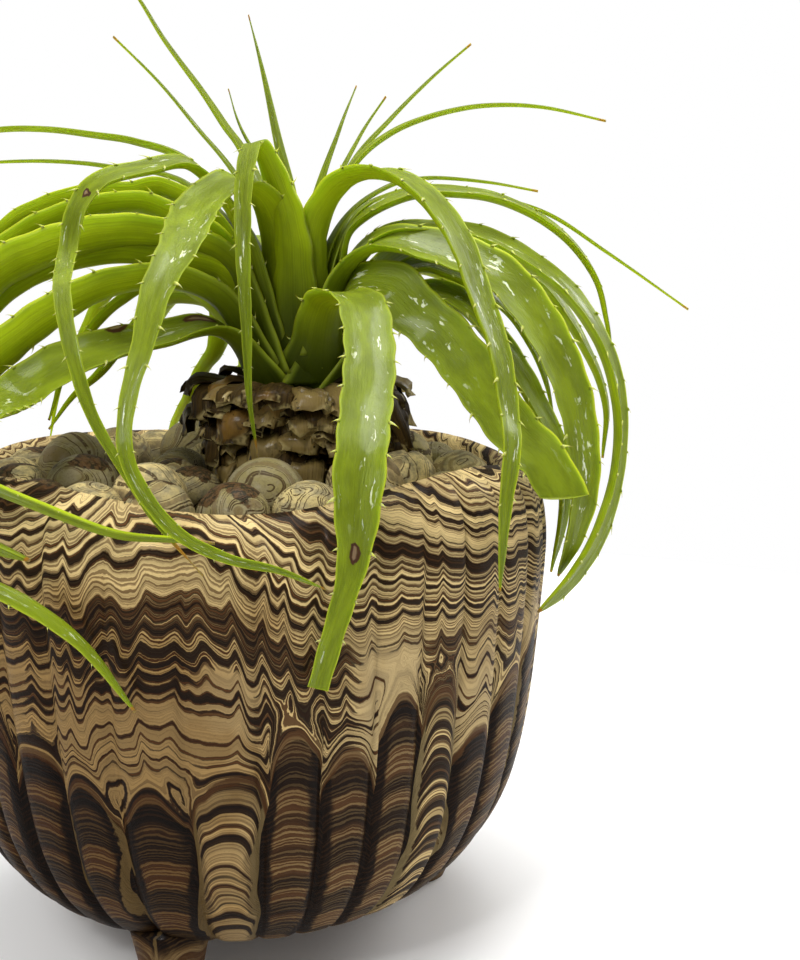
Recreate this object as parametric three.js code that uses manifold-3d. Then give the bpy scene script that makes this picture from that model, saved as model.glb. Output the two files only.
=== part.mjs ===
// Spiny rosette plant in a footed, marbled clay pot.
// Millimetres, +Z up. The pot's axis is the Z axis, its feet stand on Z = 0 and
// the front of the plant looks along -Y.

import * as THREE from 'three';
import Module from 'manifold-3d';
import { mergeVertices } from 'three/addons/utils/BufferGeometryUtils.js';

const wasm = await Module();
wasm.setup();

// Driving dimensions
const POT_RADIUS = 91;
const RIM_HEIGHT = 142;
const FLUTES = 36;
const STEPS_PER_FLUTE = 3;
const DRAIN_RADIUS = 7;
const FOOT_CIRCLE = 58;
const FOOT_BEARINGS = [-22, 98, 218];
const FOOT_RADIUS_TOP = 11.5;
const FOOT_RADIUS_SOLE = 7;
const FOOT_HEIGHT = 24;
const GAP = 0.3;
const EDGE_REACH = 4;
const SOIL_EDGE = 124;
const SOIL_CROWN = 129;
const STEM_X = 18;
const STEM_SIDES = 14;
const STEM_RADIUS = 15;
const STEM_FOOT = 78;
const STONE_SECTORS = 11;
const LEAF_THICKNESS = 2.3;
const TWIST_SPAN = 0.4;
const TOOTH_LENGTH = 2.1;
const TOOTH_SPACING = 28;

// The pot's section from the drain hole out, over the rim and back down inside.
// Each row is radius, height and how deep the flutes are there.
const POT_SECTION = [
  [DRAIN_RADIUS, 14, 0],
  [48, 14.5, 0.8],
  [63, 21, 1.8],
  [74, 32, 2.4],
  [82, 47, 2.4],
  [86.5, 65, 2.0],
  [90, 98, 1.6],
  [POT_RADIUS, 125, 1.4],
  [88.5, 136, 1.0],
  [81.5, RIM_HEIGHT, 0.3],
  [77, 137, 0],
  [73, 66, 0],
  [60, 38, 0],
  [DRAIN_RADIUS, 24, 0],
];

// The soil's section from its floor out and up, clear of the pot's inside.
const SOIL_SECTION = [
  [0, 24.6],
  [7, 24.7],
  [59.4, 38.6],
  [72.3, 66.4],
  [74.9, 110],
  [75.4, SOIL_EDGE],
  [40, SOIL_CROWN],
  [0, SOIL_CROWN],
];

// The short trunk under the rosette, from its foot in the soil to its dome.
const STEM_SECTION = [
  [0, STEM_FOOT],
  [STEM_RADIUS - 2, STEM_FOOT],
  [STEM_RADIUS, STEM_FOOT + 10],
  [STEM_RADIUS, 132],
  [16.5, 150],
  [17, 164],
  [14, 175],
  [8, 183],
  [0, 186],
];

// Tiers of dried leaf bases on the trunk: height, how many, reach and width.
const DRY_TIERS = [
  [144, 6, 27, 19],
  [151, 7, 32, 18],
  [158, 7, 33, 17],
  [166, 6, 29, 16],
];

// Longer dead leaves hanging from the trunk: bearing and points of reach, height.
const DRY_LEAVES = [
  [72, 9, [[12, 160], [27, 167], [36, 160], [39, 149]]],
  [-112, 8, [[12, 158], [28, 163], [39, 151]]],
  [165, 9, [[12, 160], [28, 166], [38, 158], [42, 150]]],
];

// The living leaves. Each has a name, the bearing it leaves the trunk on, its width,
// its form, how many degrees it turns about its own line, and the points that it
// passes through as reach and height, with a bearing of their own where the leaf
// swings sideways. Bearing 0 is the front, 90 the right.
const LEAVES = [
  ['leaf_front_1', -20, 14, 'whip', 0, [[2, 182], [12, 212], [26, 231, -28], [38, 222, -24],
    [46, 204, -21], [52, 181, -18], [54, 164, -17], [54, 149, -15]]],
  ['leaf_front_2', 18, 14, 'cut', 0, [[6, 172], [22, 188], [48, 188, 16], [62, 178, 13], [76, 166, 9],
    [93, 149, 5], [94, 130, 4], [94, 112, 1], [93, 100, -1]]],
  ['leaf_front_3', -44, 14, 'tail', -5, [[4, 178], [12, 213, -50], [28, 221, -39], [39, 215, -42],
    [68, 201, -28], [81, 191, -27], [90, 180, -26], [98, 167, -26], [103, 157, -25], [104, 149, -23],
    [105, 139, -18], [103, 133, -12], [101, 130, -6], [99, 125, 0]]],
  ['leaf_front_4', -60, 9, 'strap', -30, [[4, 180], [18, 206], [35, 226], [49, 224], [62, 220], [68, 213],
    [71, 202], [96, 189, -37], [101, 177, -33], [102, 164, -30], [102, 150, -25], [101, 141, -22],
    [99, 128, -16]]],
  ['leaf_front_5', 54, 19, 'broad', 42, [[4, 174], [12, 184], [20, 192, 50], [30, 192], [38, 185],
    [46, 179], [59, 165], [69, 153], [78, 145], [84, 136]]],
  ['leaf_front_6', 40, 12, 'late', 0, [[2, 182], [8, 210], [17, 221], [26, 224], [37, 223], [50, 216],
    [61, 204], [68, 190], [74, 177], [80, 161, 38], [85, 153, 35], [86, 137, 33], [85, 116, 33]]],
  ['leaf_front_7', 66, 17, 'full', 35, [[4, 182], [14, 196], [24, 205], [41, 203], [59, 196], [67, 188],
    [75, 176], [81, 162], [84, 148], [85, 134], [83, 122], [79, 110]]],
  ['leaf_front_8', 76, 14, 'late', 25, [[6, 170], [24, 184], [39, 191], [48, 188], [57, 179], [65, 168],
    [70, 159], [76, 148], [79, 136], [79, 124], [76, 108]]],
  ['leaf_right_1', 84, 14, 'full', 22, [[4, 178], [16, 198], [26, 208], [42, 209], [55, 207], [70, 199],
    [82, 189], [92, 173], [96, 159], [97, 147], [94, 132, 80], [89, 120, 73], [83, 110, 64], [79, 104, 52]]],
  ['leaf_right_2', 92, 9, 'late', 20, [[3, 182], [12, 198], [15, 210], [32, 220], [50, 221], [65, 218],
    [81, 209], [92, 196], [96, 183], [98, 171]]],
  ['leaf_right_3', 98, 13, 'late', 30, [[4, 174], [20, 192], [35, 204], [58, 203], [75, 196], [86, 184],
    [92, 175], [98, 164], [101, 153], [100, 138]]],
  ['leaf_right_4', 104, 5, 'thread', 0, [[3, 184], [10, 200], [18, 215], [34, 222], [56, 222], [82, 217],
    [105, 205], [138, 186]]],
  ['leaf_right_5', 106, 7, 'thread', 0, [[2, 186], [6, 206], [17, 229], [29, 239], [43, 245], [60, 249],
    [81, 250], [106, 247]]],
  ['leaf_right_6', 114, 4, 'thread', 0, [[2, 186], [8, 200], [17, 215], [31, 224], [44, 227], [67, 227],
    [89, 225]]],
  ['leaf_right_7', 124, 5, 'thread', 0, [[2, 186], [6, 206], [22, 232], [36, 245], [53, 259], [71, 272]]],
  ['leaf_right_8', 80, 12, 'strap', 25, [[4, 174], [22, 190], [35, 199], [45, 197], [61, 187], [69, 176],
    [74, 164], [76, 155]]],
  ['leaf_back_1', 150, 5, 'thread', 0, [[2, 186], [9, 214], [26, 242, 147], [40, 257, 149]]],
  ['leaf_back_2', 134, 5, 'thread', 0, [[2, 186], [10, 212], [32, 240, 140], [46, 254, 139]]],
  ['leaf_back_3', 118, 12, 'strap', 0, [[4, 176], [24, 196], [50, 198], [72, 183], [84, 158], [86, 130]]],
  ['leaf_back_4', 160, 13, 'strap', 0, [[4, 174], [24, 196], [50, 200], [76, 182], [92, 150], [98, 116]]],
  ['leaf_back_5', 174, 13, 'strap', 0, [[4, 178], [22, 202], [50, 206], [78, 190], [96, 160],
    [100, 130]]],
  ['leaf_back_6', -170, 13, 'strap', 0, [[4, 174], [24, 194], [52, 194], [80, 176], [101, 146],
    [104, 114]]],
  ['leaf_back_7', -160, 6, 'thread', 0, [[1, 188], [6, 216], [14, 240, -154], [24, 260, -156],
    [34, 277, -157]]],
  ['leaf_back_8', -154, 13, 'strap', 0, [[4, 178], [24, 204], [48, 206], [57, 174], [70, 165], [84, 154],
    [100, 141], [107, 125]]],
  ['leaf_back_9', -146, 12, 'strap', 0, [[4, 172], [26, 192], [56, 196], [84, 182], [104, 154],
    [110, 126]]],
  ['leaf_back_10', -133, 12, 'strap', 0, [[4, 172], [26, 195], [56, 202], [86, 190], [99, 175],
    [111, 161], [119, 139]]],
  ['leaf_back_11', -128, 4, 'thread', 0, [[2, 186], [10, 208], [25, 229], [37, 241], [52, 256],
    [71, 272]]],
  ['leaf_back_12', -168, 4, 'thread', 0, [[2, 188], [10, 212], [26, 242, -140], [34, 254, -144]]],
  ['leaf_left_1', -118, 8, 'thread', 0, [[2, 186], [8, 208], [18, 233], [24, 241], [32, 252], [44, 267],
    [52, 279], [62, 292]]],
  ['leaf_left_2', -104, 7, 'thread', 0, [[3, 184], [14, 206], [33, 230], [49, 236], [61, 238], [78, 240],
    [91, 240], [110, 237], [142, 222], [174, 198]]],
  ['leaf_left_3', -112, 5, 'thread', 0, [[3, 184], [14, 202], [34, 223], [43, 227], [56, 229], [70, 231],
    [85, 232], [100, 232], [117, 231]]],
  ['leaf_left_4', -98, 13, 'strap', 28, [[4, 180], [22, 208], [40, 221], [49, 220], [57, 220], [67, 219],
    [74, 217], [82, 214], [89, 209], [101, 197], [109, 180]]],
  ['leaf_left_5', -90, 15, 'strap', 25, [[4, 178], [22, 204], [37, 213], [45, 216], [53, 216], [68, 213],
    [81, 207], [95, 195], [104, 175], [106, 155]]],
  ['leaf_left_6', -82, 17, 'full', 38, [[4, 176], [22, 200], [38, 206], [48, 207], [58, 206], [74, 201],
    [85, 195], [101, 177, -80], [110, 157, -76], [124, 150, -45], [114, 136, -43], [110, 131, -37]]],
  ['leaf_left_7', -88, 14, 'strap', 32, [[4, 174], [22, 196], [38, 200], [52, 202], [70, 198], [84, 190],
    [96, 175], [103, 158], [100, 146]]],
  ['leaf_left_8', -74, 14, 'full', 55, [[5, 172], [24, 188], [36, 194], [49, 194], [60, 191], [71, 185],
    [82, 177], [99, 163], [129, 152, -48], [126, 138, -52], [118, 129, -48], [109, 121, -39],
    [104, 111, -32], [100, 95, -26]]],
  ['leaf_left_9', -68, 16, 'tail', -38, [[6, 168], [22, 178], [29, 181], [44, 178], [56, 176], [71, 171],
    [84, 163], [115, 161, -42], [117, 153, -45], [113, 149, -43], [109, 144, -36], [105, 138, -26],
    [103, 137, -19], [101, 136, -14]]],
  ['leaf_left_10', -106, 12, 'strap', 0, [[6, 170], [28, 188], [43, 195], [56, 189], [66, 180], [75, 167],
    [81, 152]]],
  ['leaf_left_11', -118, 12, 'strap', 0, [[4, 170], [26, 186], [46, 189], [61, 176], [71, 166], [82, 158],
    [92, 147]]],
];

// Plain surface colours
const CLAY = { color: 0x8d7458, roughness: 0.55, metalness: 0 };
const CLAY_STONE = { color: 0xa3946f, roughness: 0.6, metalness: 0 };
const EARTH = { color: 0x2b2119, roughness: 0.95, metalness: 0 };
const DRY_LEAF = { color: 0x7d6238, roughness: 0.6, metalness: 0 };
const GREEN = { color: 0x8fae2a, roughness: 0.4, metalness: 0 };

// A repeatable spread of values between 0 and 1
function spread(seed) {
  const value = Math.sin(seed * 12.9898 + 4.1) * 43758.5453;
  return value - Math.floor(value);
}

function smoothstep(low, high, value) {
  const t = Math.min(1, Math.max(0, (value - low) / (high - low)));
  return t * t * (3 - 2 * t);
}

// Bearings turn from the front towards the right
function onBearing(degrees, reach, height, centreX = 0) {
  const angle = THREE.MathUtils.degToRad(degrees);
  return new THREE.Vector3(centreX + reach * Math.sin(angle), -reach * Math.cos(angle), height);
}

// Solids
function geometryFrom(points, faces) {
  const geometry = new THREE.BufferGeometry();
  const flat = [];
  for (const point of points) {
    flat.push(point.x, point.y, point.z);
  }
  geometry.setAttribute('position', new THREE.Float32BufferAttribute(flat, 3));
  geometry.setIndex(faces.flat());
  return geometry;
}

function solidFrom(geometry) {
  let bare = geometry.clone();
  bare.deleteAttribute('normal');
  bare.deleteAttribute('uv');
  bare = mergeVertices(bare, 1e-5);
  return new wasm.Manifold(new wasm.Mesh({
    numProp: 3,
    vertProperties: new Float32Array(bare.attributes.position.array),
    triVerts: new Uint32Array(bare.index.array),
  }));
}

function geometryOf(solid) {
  const mesh = solid.getMesh();
  const geometry = new THREE.BufferGeometry();
  geometry.setAttribute('position', new THREE.Float32BufferAttribute(mesh.vertProperties, 3));
  geometry.setIndex(Array.from(mesh.triVerts));
  return geometry;
}

function meets(first, second) {
  return first.intersect(second).getMesh().triVerts.length > 0;
}

// Keeps the largest body of a cut solid, so that no loose scrap is left
function largestBody(geometry) {
  const merged = mergeVertices(geometry, 1e-3);
  const index = merged.index.array;
  const parent = Array.from({ length: merged.attributes.position.count }, (_, i) => i);
  const root = (i) => {
    while (parent[i] !== i) {
      parent[i] = parent[parent[i]];
      i = parent[i];
    }
    return i;
  };
  for (let i = 0; i < index.length; i += 3) {
    parent[root(index[i])] = root(index[i + 1]);
    parent[root(index[i + 1])] = root(index[i + 2]);
  }
  const bodies = new Map();
  for (let i = 0; i < index.length; i += 3) {
    const key = root(index[i]);
    if (!bodies.has(key)) {
      bodies.set(key, []);
    }
    bodies.get(key).push(index[i], index[i + 1], index[i + 2]);
  }
  let kept = [];
  for (const faces of bodies.values()) {
    if (faces.length > kept.length) {
      kept = faces;
    }
  }
  merged.setIndex(kept);
  return merged;
}

function lathe(section, sides, centreX = 0) {
  const outline = section.map(([r, z]) => new THREE.Vector2(r, z));
  const geometry = new THREE.LatheGeometry(outline, sides);
  geometry.rotateX(Math.PI / 2);
  geometry.translate(centreX, 0, 0);
  return geometry;
}

// The pot's rim is thrown by hand: it dips at the front and rises at either side
function rimLift(angle) {
  return 0.8 - 3.5 * Math.cos(4 * angle) * (0.6 + 0.4 * Math.cos(angle));
}

// Flutes are rounded fingers with a narrow groove between them
function potPoint(row, column) {
  const [radius, height, depth] = POT_SECTION[row];
  const flute = Math.floor(column / STEPS_PER_FLUTE);
  const place = column % STEPS_PER_FLUTE;
  const turn = (column + (place === 0 ? 0 : (place - 1.5) * -0.3)) / (FLUTES * STEPS_PER_FLUTE);
  const angle = 2 * Math.PI * turn + 0.035 * Math.sin(2 * Math.PI * turn * 5 + 1);
  const finger = 0.75 + 0.5 * spread(flute);
  const groove = place === 0 ? depth * (0.8 + 0.5 * spread(flute + 80)) : -0.25 * depth * finger;
  const lift = rimLift(angle) * smoothstep(60, RIM_HEIGHT, height);
  const reach = radius - groove;
  return new THREE.Vector3(reach * Math.sin(angle), -reach * Math.cos(angle), height + lift);
}

function buildPot() {
  const rows = POT_SECTION.length;
  const columns = FLUTES * STEPS_PER_FLUTE;
  const points = [];
  const faces = [];
  for (let i = 0; i < rows; i += 1) {
    for (let j = 0; j < columns; j += 1) {
      points.push(potPoint(i, j));
    }
  }
  for (let i = 0; i < rows; i += 1) {
    const next = (i + 1) % rows;
    for (let j = 0; j < columns; j += 1) {
      const side = (j + 1) % columns;
      const a = i * columns + j;
      const b = i * columns + side;
      const c = next * columns + side;
      const d = next * columns + j;
      faces.push([a, b, c], [a, c, d]);
    }
  }
  let pot = solidFrom(geometryFrom(points, faces));
  for (const bearing of FOOT_BEARINGS) {
    const foot = new THREE.CylinderGeometry(FOOT_RADIUS_TOP, FOOT_RADIUS_SOLE, FOOT_HEIGHT, 14);
    foot.rotateX(Math.PI / 2);
    const place = onBearing(bearing, FOOT_CIRCLE, FOOT_HEIGHT / 2);
    foot.translate(place.x, place.y, place.z);
    pot = pot.add(solidFrom(foot));
  }
  return pot;
}

// A blade swept along a curve. Its section has four corners: left margin, channel,
// right margin and keel. Every station gives the place along the curve, half the
// width, the thickness, how far the margins stand out as teeth and how far they lean.
// The blade turns about its own line as it leaves the trunk.
function blade(curve, bearing, stations, dish, grow = 0, twist = 0) {
  const points = [];
  const faces = [];
  const start = THREE.MathUtils.degToRad(bearing);
  let across = new THREE.Vector3(Math.cos(start), Math.sin(start), 0);
  for (const { at, half, thick, tooth, lean } of stations) {
    const along = curve.getTangentAt(at);
    const beyond = at === 0 ? -grow : at === 1 ? grow : 0;
    const centre = curve.getPointAt(at).addScaledVector(along, beyond);
    across = across.clone().addScaledVector(along, -across.dot(along)).normalize();
    const turn = THREE.MathUtils.degToRad(twist) * smoothstep(0, TWIST_SPAN, at);
    const side = across.clone().applyAxisAngle(along, turn);
    const out = new THREE.Vector3().crossVectors(along, side).normalize();
    const edge = half + tooth + EDGE_REACH * grow;
    const rise = dish * (half + EDGE_REACH * grow) + 0.3 * tooth;
    const left = centre.clone().addScaledVector(side, -edge).addScaledVector(out, rise);
    const right = centre.clone().addScaledVector(side, edge).addScaledVector(out, rise);
    left.addScaledVector(along, lean);
    right.addScaledVector(along, lean);
    const channel = centre.clone().addScaledVector(out, thick * 0.35 + grow);
    const keel = centre.clone().addScaledVector(out, -thick * 0.65 - grow);
    points.push(left, channel, right, keel);
  }
  const last = stations.length - 1;
  for (let i = 0; i < last; i += 1) {
    const [l0, c0, r0, k0] = [0, 1, 2, 3].map((n) => i * 4 + n);
    const [l1, c1, r1, k1] = [4, 5, 6, 7].map((n) => i * 4 + n);
    faces.push([l0, c1, c0], [l0, l1, c1]);
    faces.push([r0, c1, r1], [r0, c0, c1]);
    faces.push([r0, k1, k0], [r0, r1, k1]);
    faces.push([l0, k1, l1], [l0, k0, k1]);
  }
  const end = last * 4;
  faces.push([0, 2, 3], [0, 1, 2]);
  faces.push([end, end + 2, end + 1], [end, end + 3, end + 2]);
  return geometryFrom(points, faces);
}

// Strap leaves narrow to a long point and late ones only near the end. Cut leaves have
// lost their point, tails go on as a narrow ribbon, and threads narrow evenly.
function leafWidth(form, at) {
  const sheath = 1 + 0.2 * Math.exp(-at / 0.12);
  if (form === 'thread') {
    return sheath * (1 - at) ** 0.9;
  }
  if (form === 'cut') {
    return sheath * (1 - 0.22 * at ** 2 - 0.42 * smoothstep(0.68, 0.88, at));
  }
  if (form === 'broad') {
    return sheath * (1 - 0.24 * at ** 2);
  }
  if (form === 'tail') {
    return sheath * (1 - 0.7 * smoothstep(0.35, 0.75, at)) * (1 - at ** 6) ** 0.7;
  }
  if (form === 'whip') {
    return sheath * (1 - 0.45 * smoothstep(0.12, 0.42, at)) * (1 - at ** 1.8) ** 0.85;
  }
  if (form === 'late') {
    return sheath * (1 - at ** 3) ** 0.8;
  }
  if (form === 'full') {
    return sheath * (1 - at ** 5) ** 0.7;
  }
  return sheath * (1 - at ** 1.5) ** 0.85;
}

function leafStations(form, width, length) {
  const half = (at) => Math.max(0.5, 0.5 * width * leafWidth(form, at));
  const thick = (at) => Math.max(0.8, LEAF_THICKNESS * Math.min(1, half(at) / 5) ** 0.6);
  const stations = [];
  const plain = (at) => stations.push({ at, half: half(at), thick: thick(at), tooth: 0, lean: 0 });
  plain(0);
  if (form === 'thread') {
    for (let i = 1; i <= 9; i += 1) {
      plain(i / 10);
    }
    plain(1);
    return stations;
  }
  const teeth = Math.round((length * 0.88) / TOOTH_SPACING);
  for (let i = 0; i < teeth; i += 1) {
    const at = 0.07 + (0.88 * (i + 0.35)) / teeth;
    const size = TOOTH_LENGTH * Math.min(1, half(at) / 3.5);
    plain(at - (0.9 * size) / length);
    stations.push({ at, half: half(at), thick: thick(at), tooth: size, lean: 0.3 * size });
    plain(at + (0.7 * size) / length);
  }
  plain(1);
  return stations;
}

function buildLeaf([, bearing, width, form, twist, points], grow = 0) {
  const path = points.map(([reach, height, own]) => onBearing(own ?? bearing, reach, height, STEM_X));
  const curve = new THREE.CatmullRomCurve3(path, false, 'centripetal');
  const stations = leafStations(form, width, curve.getLength());
  const dish = form === 'thread' ? 0.15 : 0.32;
  return solidFrom(blade(curve, bearing, stations, dish, grow, twist));
}

// A dried blade is short, folded and ragged at its end
function dryBlade(bearing, width, path, grow) {
  const points = path.map(([reach, height]) => onBearing(bearing, reach, height, STEM_X));
  const curve = new THREE.CatmullRomCurve3(points, false, 'centripetal');
  const stations = [0, 0.4, 0.75, 1].map((at, i) => ({
    at,
    half: 0.5 * width * [1, 1.05, 0.85, 0.2][i],
    thick: [2.4, 1.8, 1.4, 1][i],
    tooth: 0,
    lean: [0, 0, -2, 0][i],
  }));
  return solidFrom(blade(curve, bearing, stations, -0.2, grow));
}

// The trunk's plain outline, larger all round by the growth
function stemSleeve(grow) {
  const section = STEM_SECTION.map(([r, z], i) => [r + (r > 0 ? grow : 0), i < 2 ? z - grow : z + grow]);
  return solidFrom(lathe(section, STEM_SIDES, STEM_X));
}

function buildStem(grow = 0) {
  let stem = stemSleeve(grow);
  DRY_TIERS.forEach(([height, count, reach, width], tier) => {
    for (let i = 0; i < count; i += 1) {
      const odd = spread(tier * 20 + i);
      const bearing = (360 * (i + 0.5 * (tier % 2))) / count + 14 * (odd - 0.5);
      const far = reach + 5 * (spread(tier * 20 + i + 7) - 0.5);
      const drop = 4 + 6 * odd;
      const path = [[11, height - 1], [0.62 * far, height + 4], [far, height - drop + 3]];
      stem = stem.add(dryBlade(bearing, width * (0.85 + 0.3 * odd), path, grow));
    }
  });
  for (const [bearing, width, path] of DRY_LEAVES) {
    stem = stem.add(dryBlade(bearing, width, path, grow));
  }
  return stem;
}

function buildSoil() {
  const bed = solidFrom(lathe(SOIL_SECTION, 30));
  return bed.subtract(stemSleeve(GAP));
}

function soilHeight(reach) {
  const slope = Math.min(1, Math.max(0, (reach - 40) / 35.5));
  return SOIL_CROWN + (SOIL_EDGE - SOIL_CROWN) * slope;
}

// Stones lie in little groups that touch: two by the wall with one inside them, and a
// last group in the wider space beside the trunk. Each knows the stone it leans on.
function layStones() {
  const stones = [];
  const lay = (bearing, reach, size, set, leansOn) => {
    const spot = onBearing(bearing, reach, 0);
    stones.push({ x: spot.x, y: spot.y, size, set, leansOn });
    return stones.length - 1;
  };
  for (let i = 0; i < STONE_SECTORS; i += 1) {
    const turn = (360 * (i + 0.3 * spread(i + 40))) / STONE_SECTORS;
    const inner = lay(turn, 47, 9.4 + 2.4 * spread(i + 300), i, -1);
    lay(turn - 8, 66, 8.2 + 1.8 * spread(i + 330), i, inner);
    lay(turn + 8, 66, 8.2 + 1.8 * spread(i + 360), i, inner);
  }
  let last = -1;
  for (const [bearing, reach] of [[-25, 29], [-60, 24], [-95, 22], [-130, 26], [-160, 31]]) {
    last = lay(bearing, reach, 7 + 1.5 * spread(reach), STONE_SECTORS, last);
  }
  for (let round = 0; round < 600; round += 1) {
    stones.forEach((a, i) => {
      stones.forEach((b, j) => {
        if (i === j) {
          return;
        }
        const gap = Math.hypot(a.x - b.x, a.y - b.y);
        const joined = a.leansOn === j || b.leansOn === i;
        const wanted = (a.size + b.size) * (joined ? 0.88 : 1.01);
        if (joined || gap < wanted) {
          const push = (0.2 * (wanted - gap)) / (gap + 1e-6);
          a.x += (a.x - b.x) * push;
          a.y += (a.y - b.y) * push;
        }
      });
      const fromStem = Math.hypot(a.x - STEM_X, a.y);
      const clear = STEM_RADIUS + a.size + 1.5;
      if (fromStem < clear) {
        a.x = STEM_X + ((a.x - STEM_X) * clear) / fromStem;
        a.y *= clear / fromStem;
      }
      const fromAxis = Math.hypot(a.x, a.y);
      const wall = 75.4 - a.size;
      if (fromAxis > wall) {
        a.x *= wall / fromAxis;
        a.y *= wall / fromAxis;
      }
    });
  }
  return stones;
}

function stoneSolid({ x, y, size }, seed, grow = 0) {
  const geometry = new THREE.SphereGeometry(1, 8, 5);
  geometry.rotateX(Math.PI / 2);
  const wide = size * (0.99 + 0.03 * spread(seed + 11)) + grow;
  const deep = size * (0.98 + 0.03 * spread(seed + 23)) + grow;
  const tall = size * (0.86 + 0.12 * spread(seed + 37)) + grow;
  geometry.scale(wide, deep, tall);
  geometry.rotateZ(2 * Math.PI * spread(seed + 51));
  geometry.translate(x, y, soilHeight(Math.hypot(x, y)) + GAP + 0.2 + 1.02 * (tall - grow));
  return solidFrom(geometry);
}

const group = new THREE.Group();
group.name = 'potted_rosette_plant';

function place(name, geometry, look) {
  const mesh = new THREE.Mesh(geometry, new THREE.MeshStandardMaterial(look));
  mesh.name = name;
  group.add(mesh);
}

function padded(number) {
  return String(number).padStart(2, '0');
}

place('pot', geometryOf(buildPot()), CLAY);
place('soil', geometryOf(buildSoil()), EARTH);

// Stones of a group are one piece, and each group keeps a small gap to the last ones
const stones = layStones();
const stoneBodies = stones.map((stone, seed) => stoneSolid(stone, seed));
const stoneSleeves = stones.map((stone, seed) => stoneSolid(stone, seed, GAP));
for (let set = 0; set <= STONE_SECTORS; set += 1) {
  const own = [...stones.keys()].filter((i) => stones[i].set === set);
  const earlier = [...stones.keys()].filter((i) => stones[i].set < set);
  let body = own.map((i) => stoneBodies[i]).reduce((sum, next) => sum.add(next));
  for (const i of earlier) {
    body = body.subtract(stoneSleeves[i]);
  }
  place(`pebbles_${padded(set + 1)}`, largestBody(geometryOf(body)), CLAY_STONE);
}

let stem = buildStem();
stoneSleeves.forEach((sleeve, i) => {
  if (meets(stem, stoneBodies[i])) {
    stem = stem.subtract(sleeve);
  }
});
place('stem', largestBody(geometryOf(stem)), DRY_LEAF);

// The lowest leaves sheathe the trunk, and each higher leaf stands clear inside them
const stemClearance = buildStem(GAP);
const upward = [...LEAVES].sort((a, b) => a[5][0][1] - b[5][0][1]);
const below = [];
for (const leaf of upward) {
  let body = buildLeaf(leaf).subtract(stemClearance);
  for (const { whole, sleeve } of below) {
    if (meets(body, whole)) {
      body = body.subtract(sleeve);
    }
  }
  below.push({ whole: buildLeaf(leaf), sleeve: buildLeaf(leaf, GAP) });
  place(leaf[0], largestBody(geometryOf(body)), GREEN);
}

export default group;
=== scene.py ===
"""Spiny rosette plant in a footed bowl of marbled clay, topped with clay pebbles.

Everything is in metres, +Z up, on the pot's axis, with the front of the plant
towards -Y. Tables of shapes are in millimetres, as a potter or a grower measures.
"""

import math

import bmesh
import bpy
import numpy as np
from bpy.props import FloatProperty, FloatVectorProperty, IntProperty, PointerProperty
from mathutils import Matrix, Vector, noise


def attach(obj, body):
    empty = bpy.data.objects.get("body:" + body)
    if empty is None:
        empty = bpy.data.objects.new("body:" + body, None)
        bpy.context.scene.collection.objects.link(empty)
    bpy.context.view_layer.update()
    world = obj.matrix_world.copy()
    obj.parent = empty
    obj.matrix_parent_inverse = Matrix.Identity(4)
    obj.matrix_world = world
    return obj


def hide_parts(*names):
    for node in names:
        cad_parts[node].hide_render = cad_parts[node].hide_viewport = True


bl_info = {
    "name": "Potted spiny rosette",
    "version": (1, 0, 0),
    "blender": (4, 5, 0),
    "location": "3D View > Sidebar > Plant",
    "description": "Builds a spiny rosette plant in a footed bowl of marbled clay",
    "category": "Add Mesh",
}

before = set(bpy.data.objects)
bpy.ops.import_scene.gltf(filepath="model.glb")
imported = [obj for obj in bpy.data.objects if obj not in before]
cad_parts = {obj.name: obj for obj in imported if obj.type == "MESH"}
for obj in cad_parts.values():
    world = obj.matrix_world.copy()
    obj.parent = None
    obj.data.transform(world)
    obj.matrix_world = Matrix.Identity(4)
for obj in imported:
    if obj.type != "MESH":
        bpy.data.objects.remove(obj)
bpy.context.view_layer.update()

MM = 0.001

# The bowl: heights and radii in millimetres, bearings in degrees from the front
RIM_HEIGHT = 142
FLUTES = 36
FLUTE_STEPS = 16
FLUTE_DRIFT = 0.035
FOOT_CIRCLE = 58
FOOT_HEIGHT = 24
FOOT_BEARINGS = (-22, 98, 218)
LAYER_HEIGHT = 1.3

# The potting mix, higher at its crown than at the wall, and the stones on it
SOIL_RADIUS = 75.4
SOIL_EDGE = 124
SOIL_CROWN = 129
STONE_SECTORS = 11
STONE_SUBDIVISIONS = 4
INNER_RING = 47
OUTER_RING = 66
SETTLING_ROUNDS = 600

# The trunk and its dried scales, whose widths are given at stations along them
STEM_X = 18
STEM_RADIUS = 15
SCALE_ROWS = 14
SCALE_RINGS = 16
SCALE_SIDES = 12
SCALE_STATIONS = (0, 0.4, 0.75, 1)

# The living leaves: no spine stands nearer to the trunk's axis than the crown's radius
LEAF_SIDES = 16
LEAF_THICKNESS = 2.3
TWIST_SPAN = 0.4
SPINE_LENGTH = 1.9
CROWN_RADIUS = 15
CURVE_STEPS = 32

# The studio: the camera's height of frame and focal length in pixels, its place in metres,
# and how many degrees it looks down and to the right
FRAME_HEIGHT = 960
FOCAL_LENGTH = 1189
SENSOR_HEIGHT = 36
CAMERA_PLACE = (0, -0.36, 0.19)
CAMERA_PITCH = 8.73
CAMERA_YAW = 7.62
FLOOR_RADIUS = 0.55
SKY_LIGHT = 0.5

# Square lamps: name, place, target, power and size
LAMPS = (
    ("key", (-0.55, -0.75, 1.05), (0, 0, 0.15), 7, 0.5),
    ("top", (0.15, 0.1, 1.2), (0.02, 0, 0.15), 13, 0.7),
    ("rim", (0.9, 0.5, 0.7), (0.02, 0, 0.2), 5, 0.5),
    ("window", (-0.28, -0.62, 0.62), (0.02, -0.02, 0.19), 1.0, 0.07),
)

# The values kept on the vertices of a living leaf and of a dried one, for their colours
LEAF_MARKS = ("across", "along", "upper", "spine", "leaf_seed", "reach", "brown")
SCALE_MARKS = ("across", "along", "leaf_seed", "reach")

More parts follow.
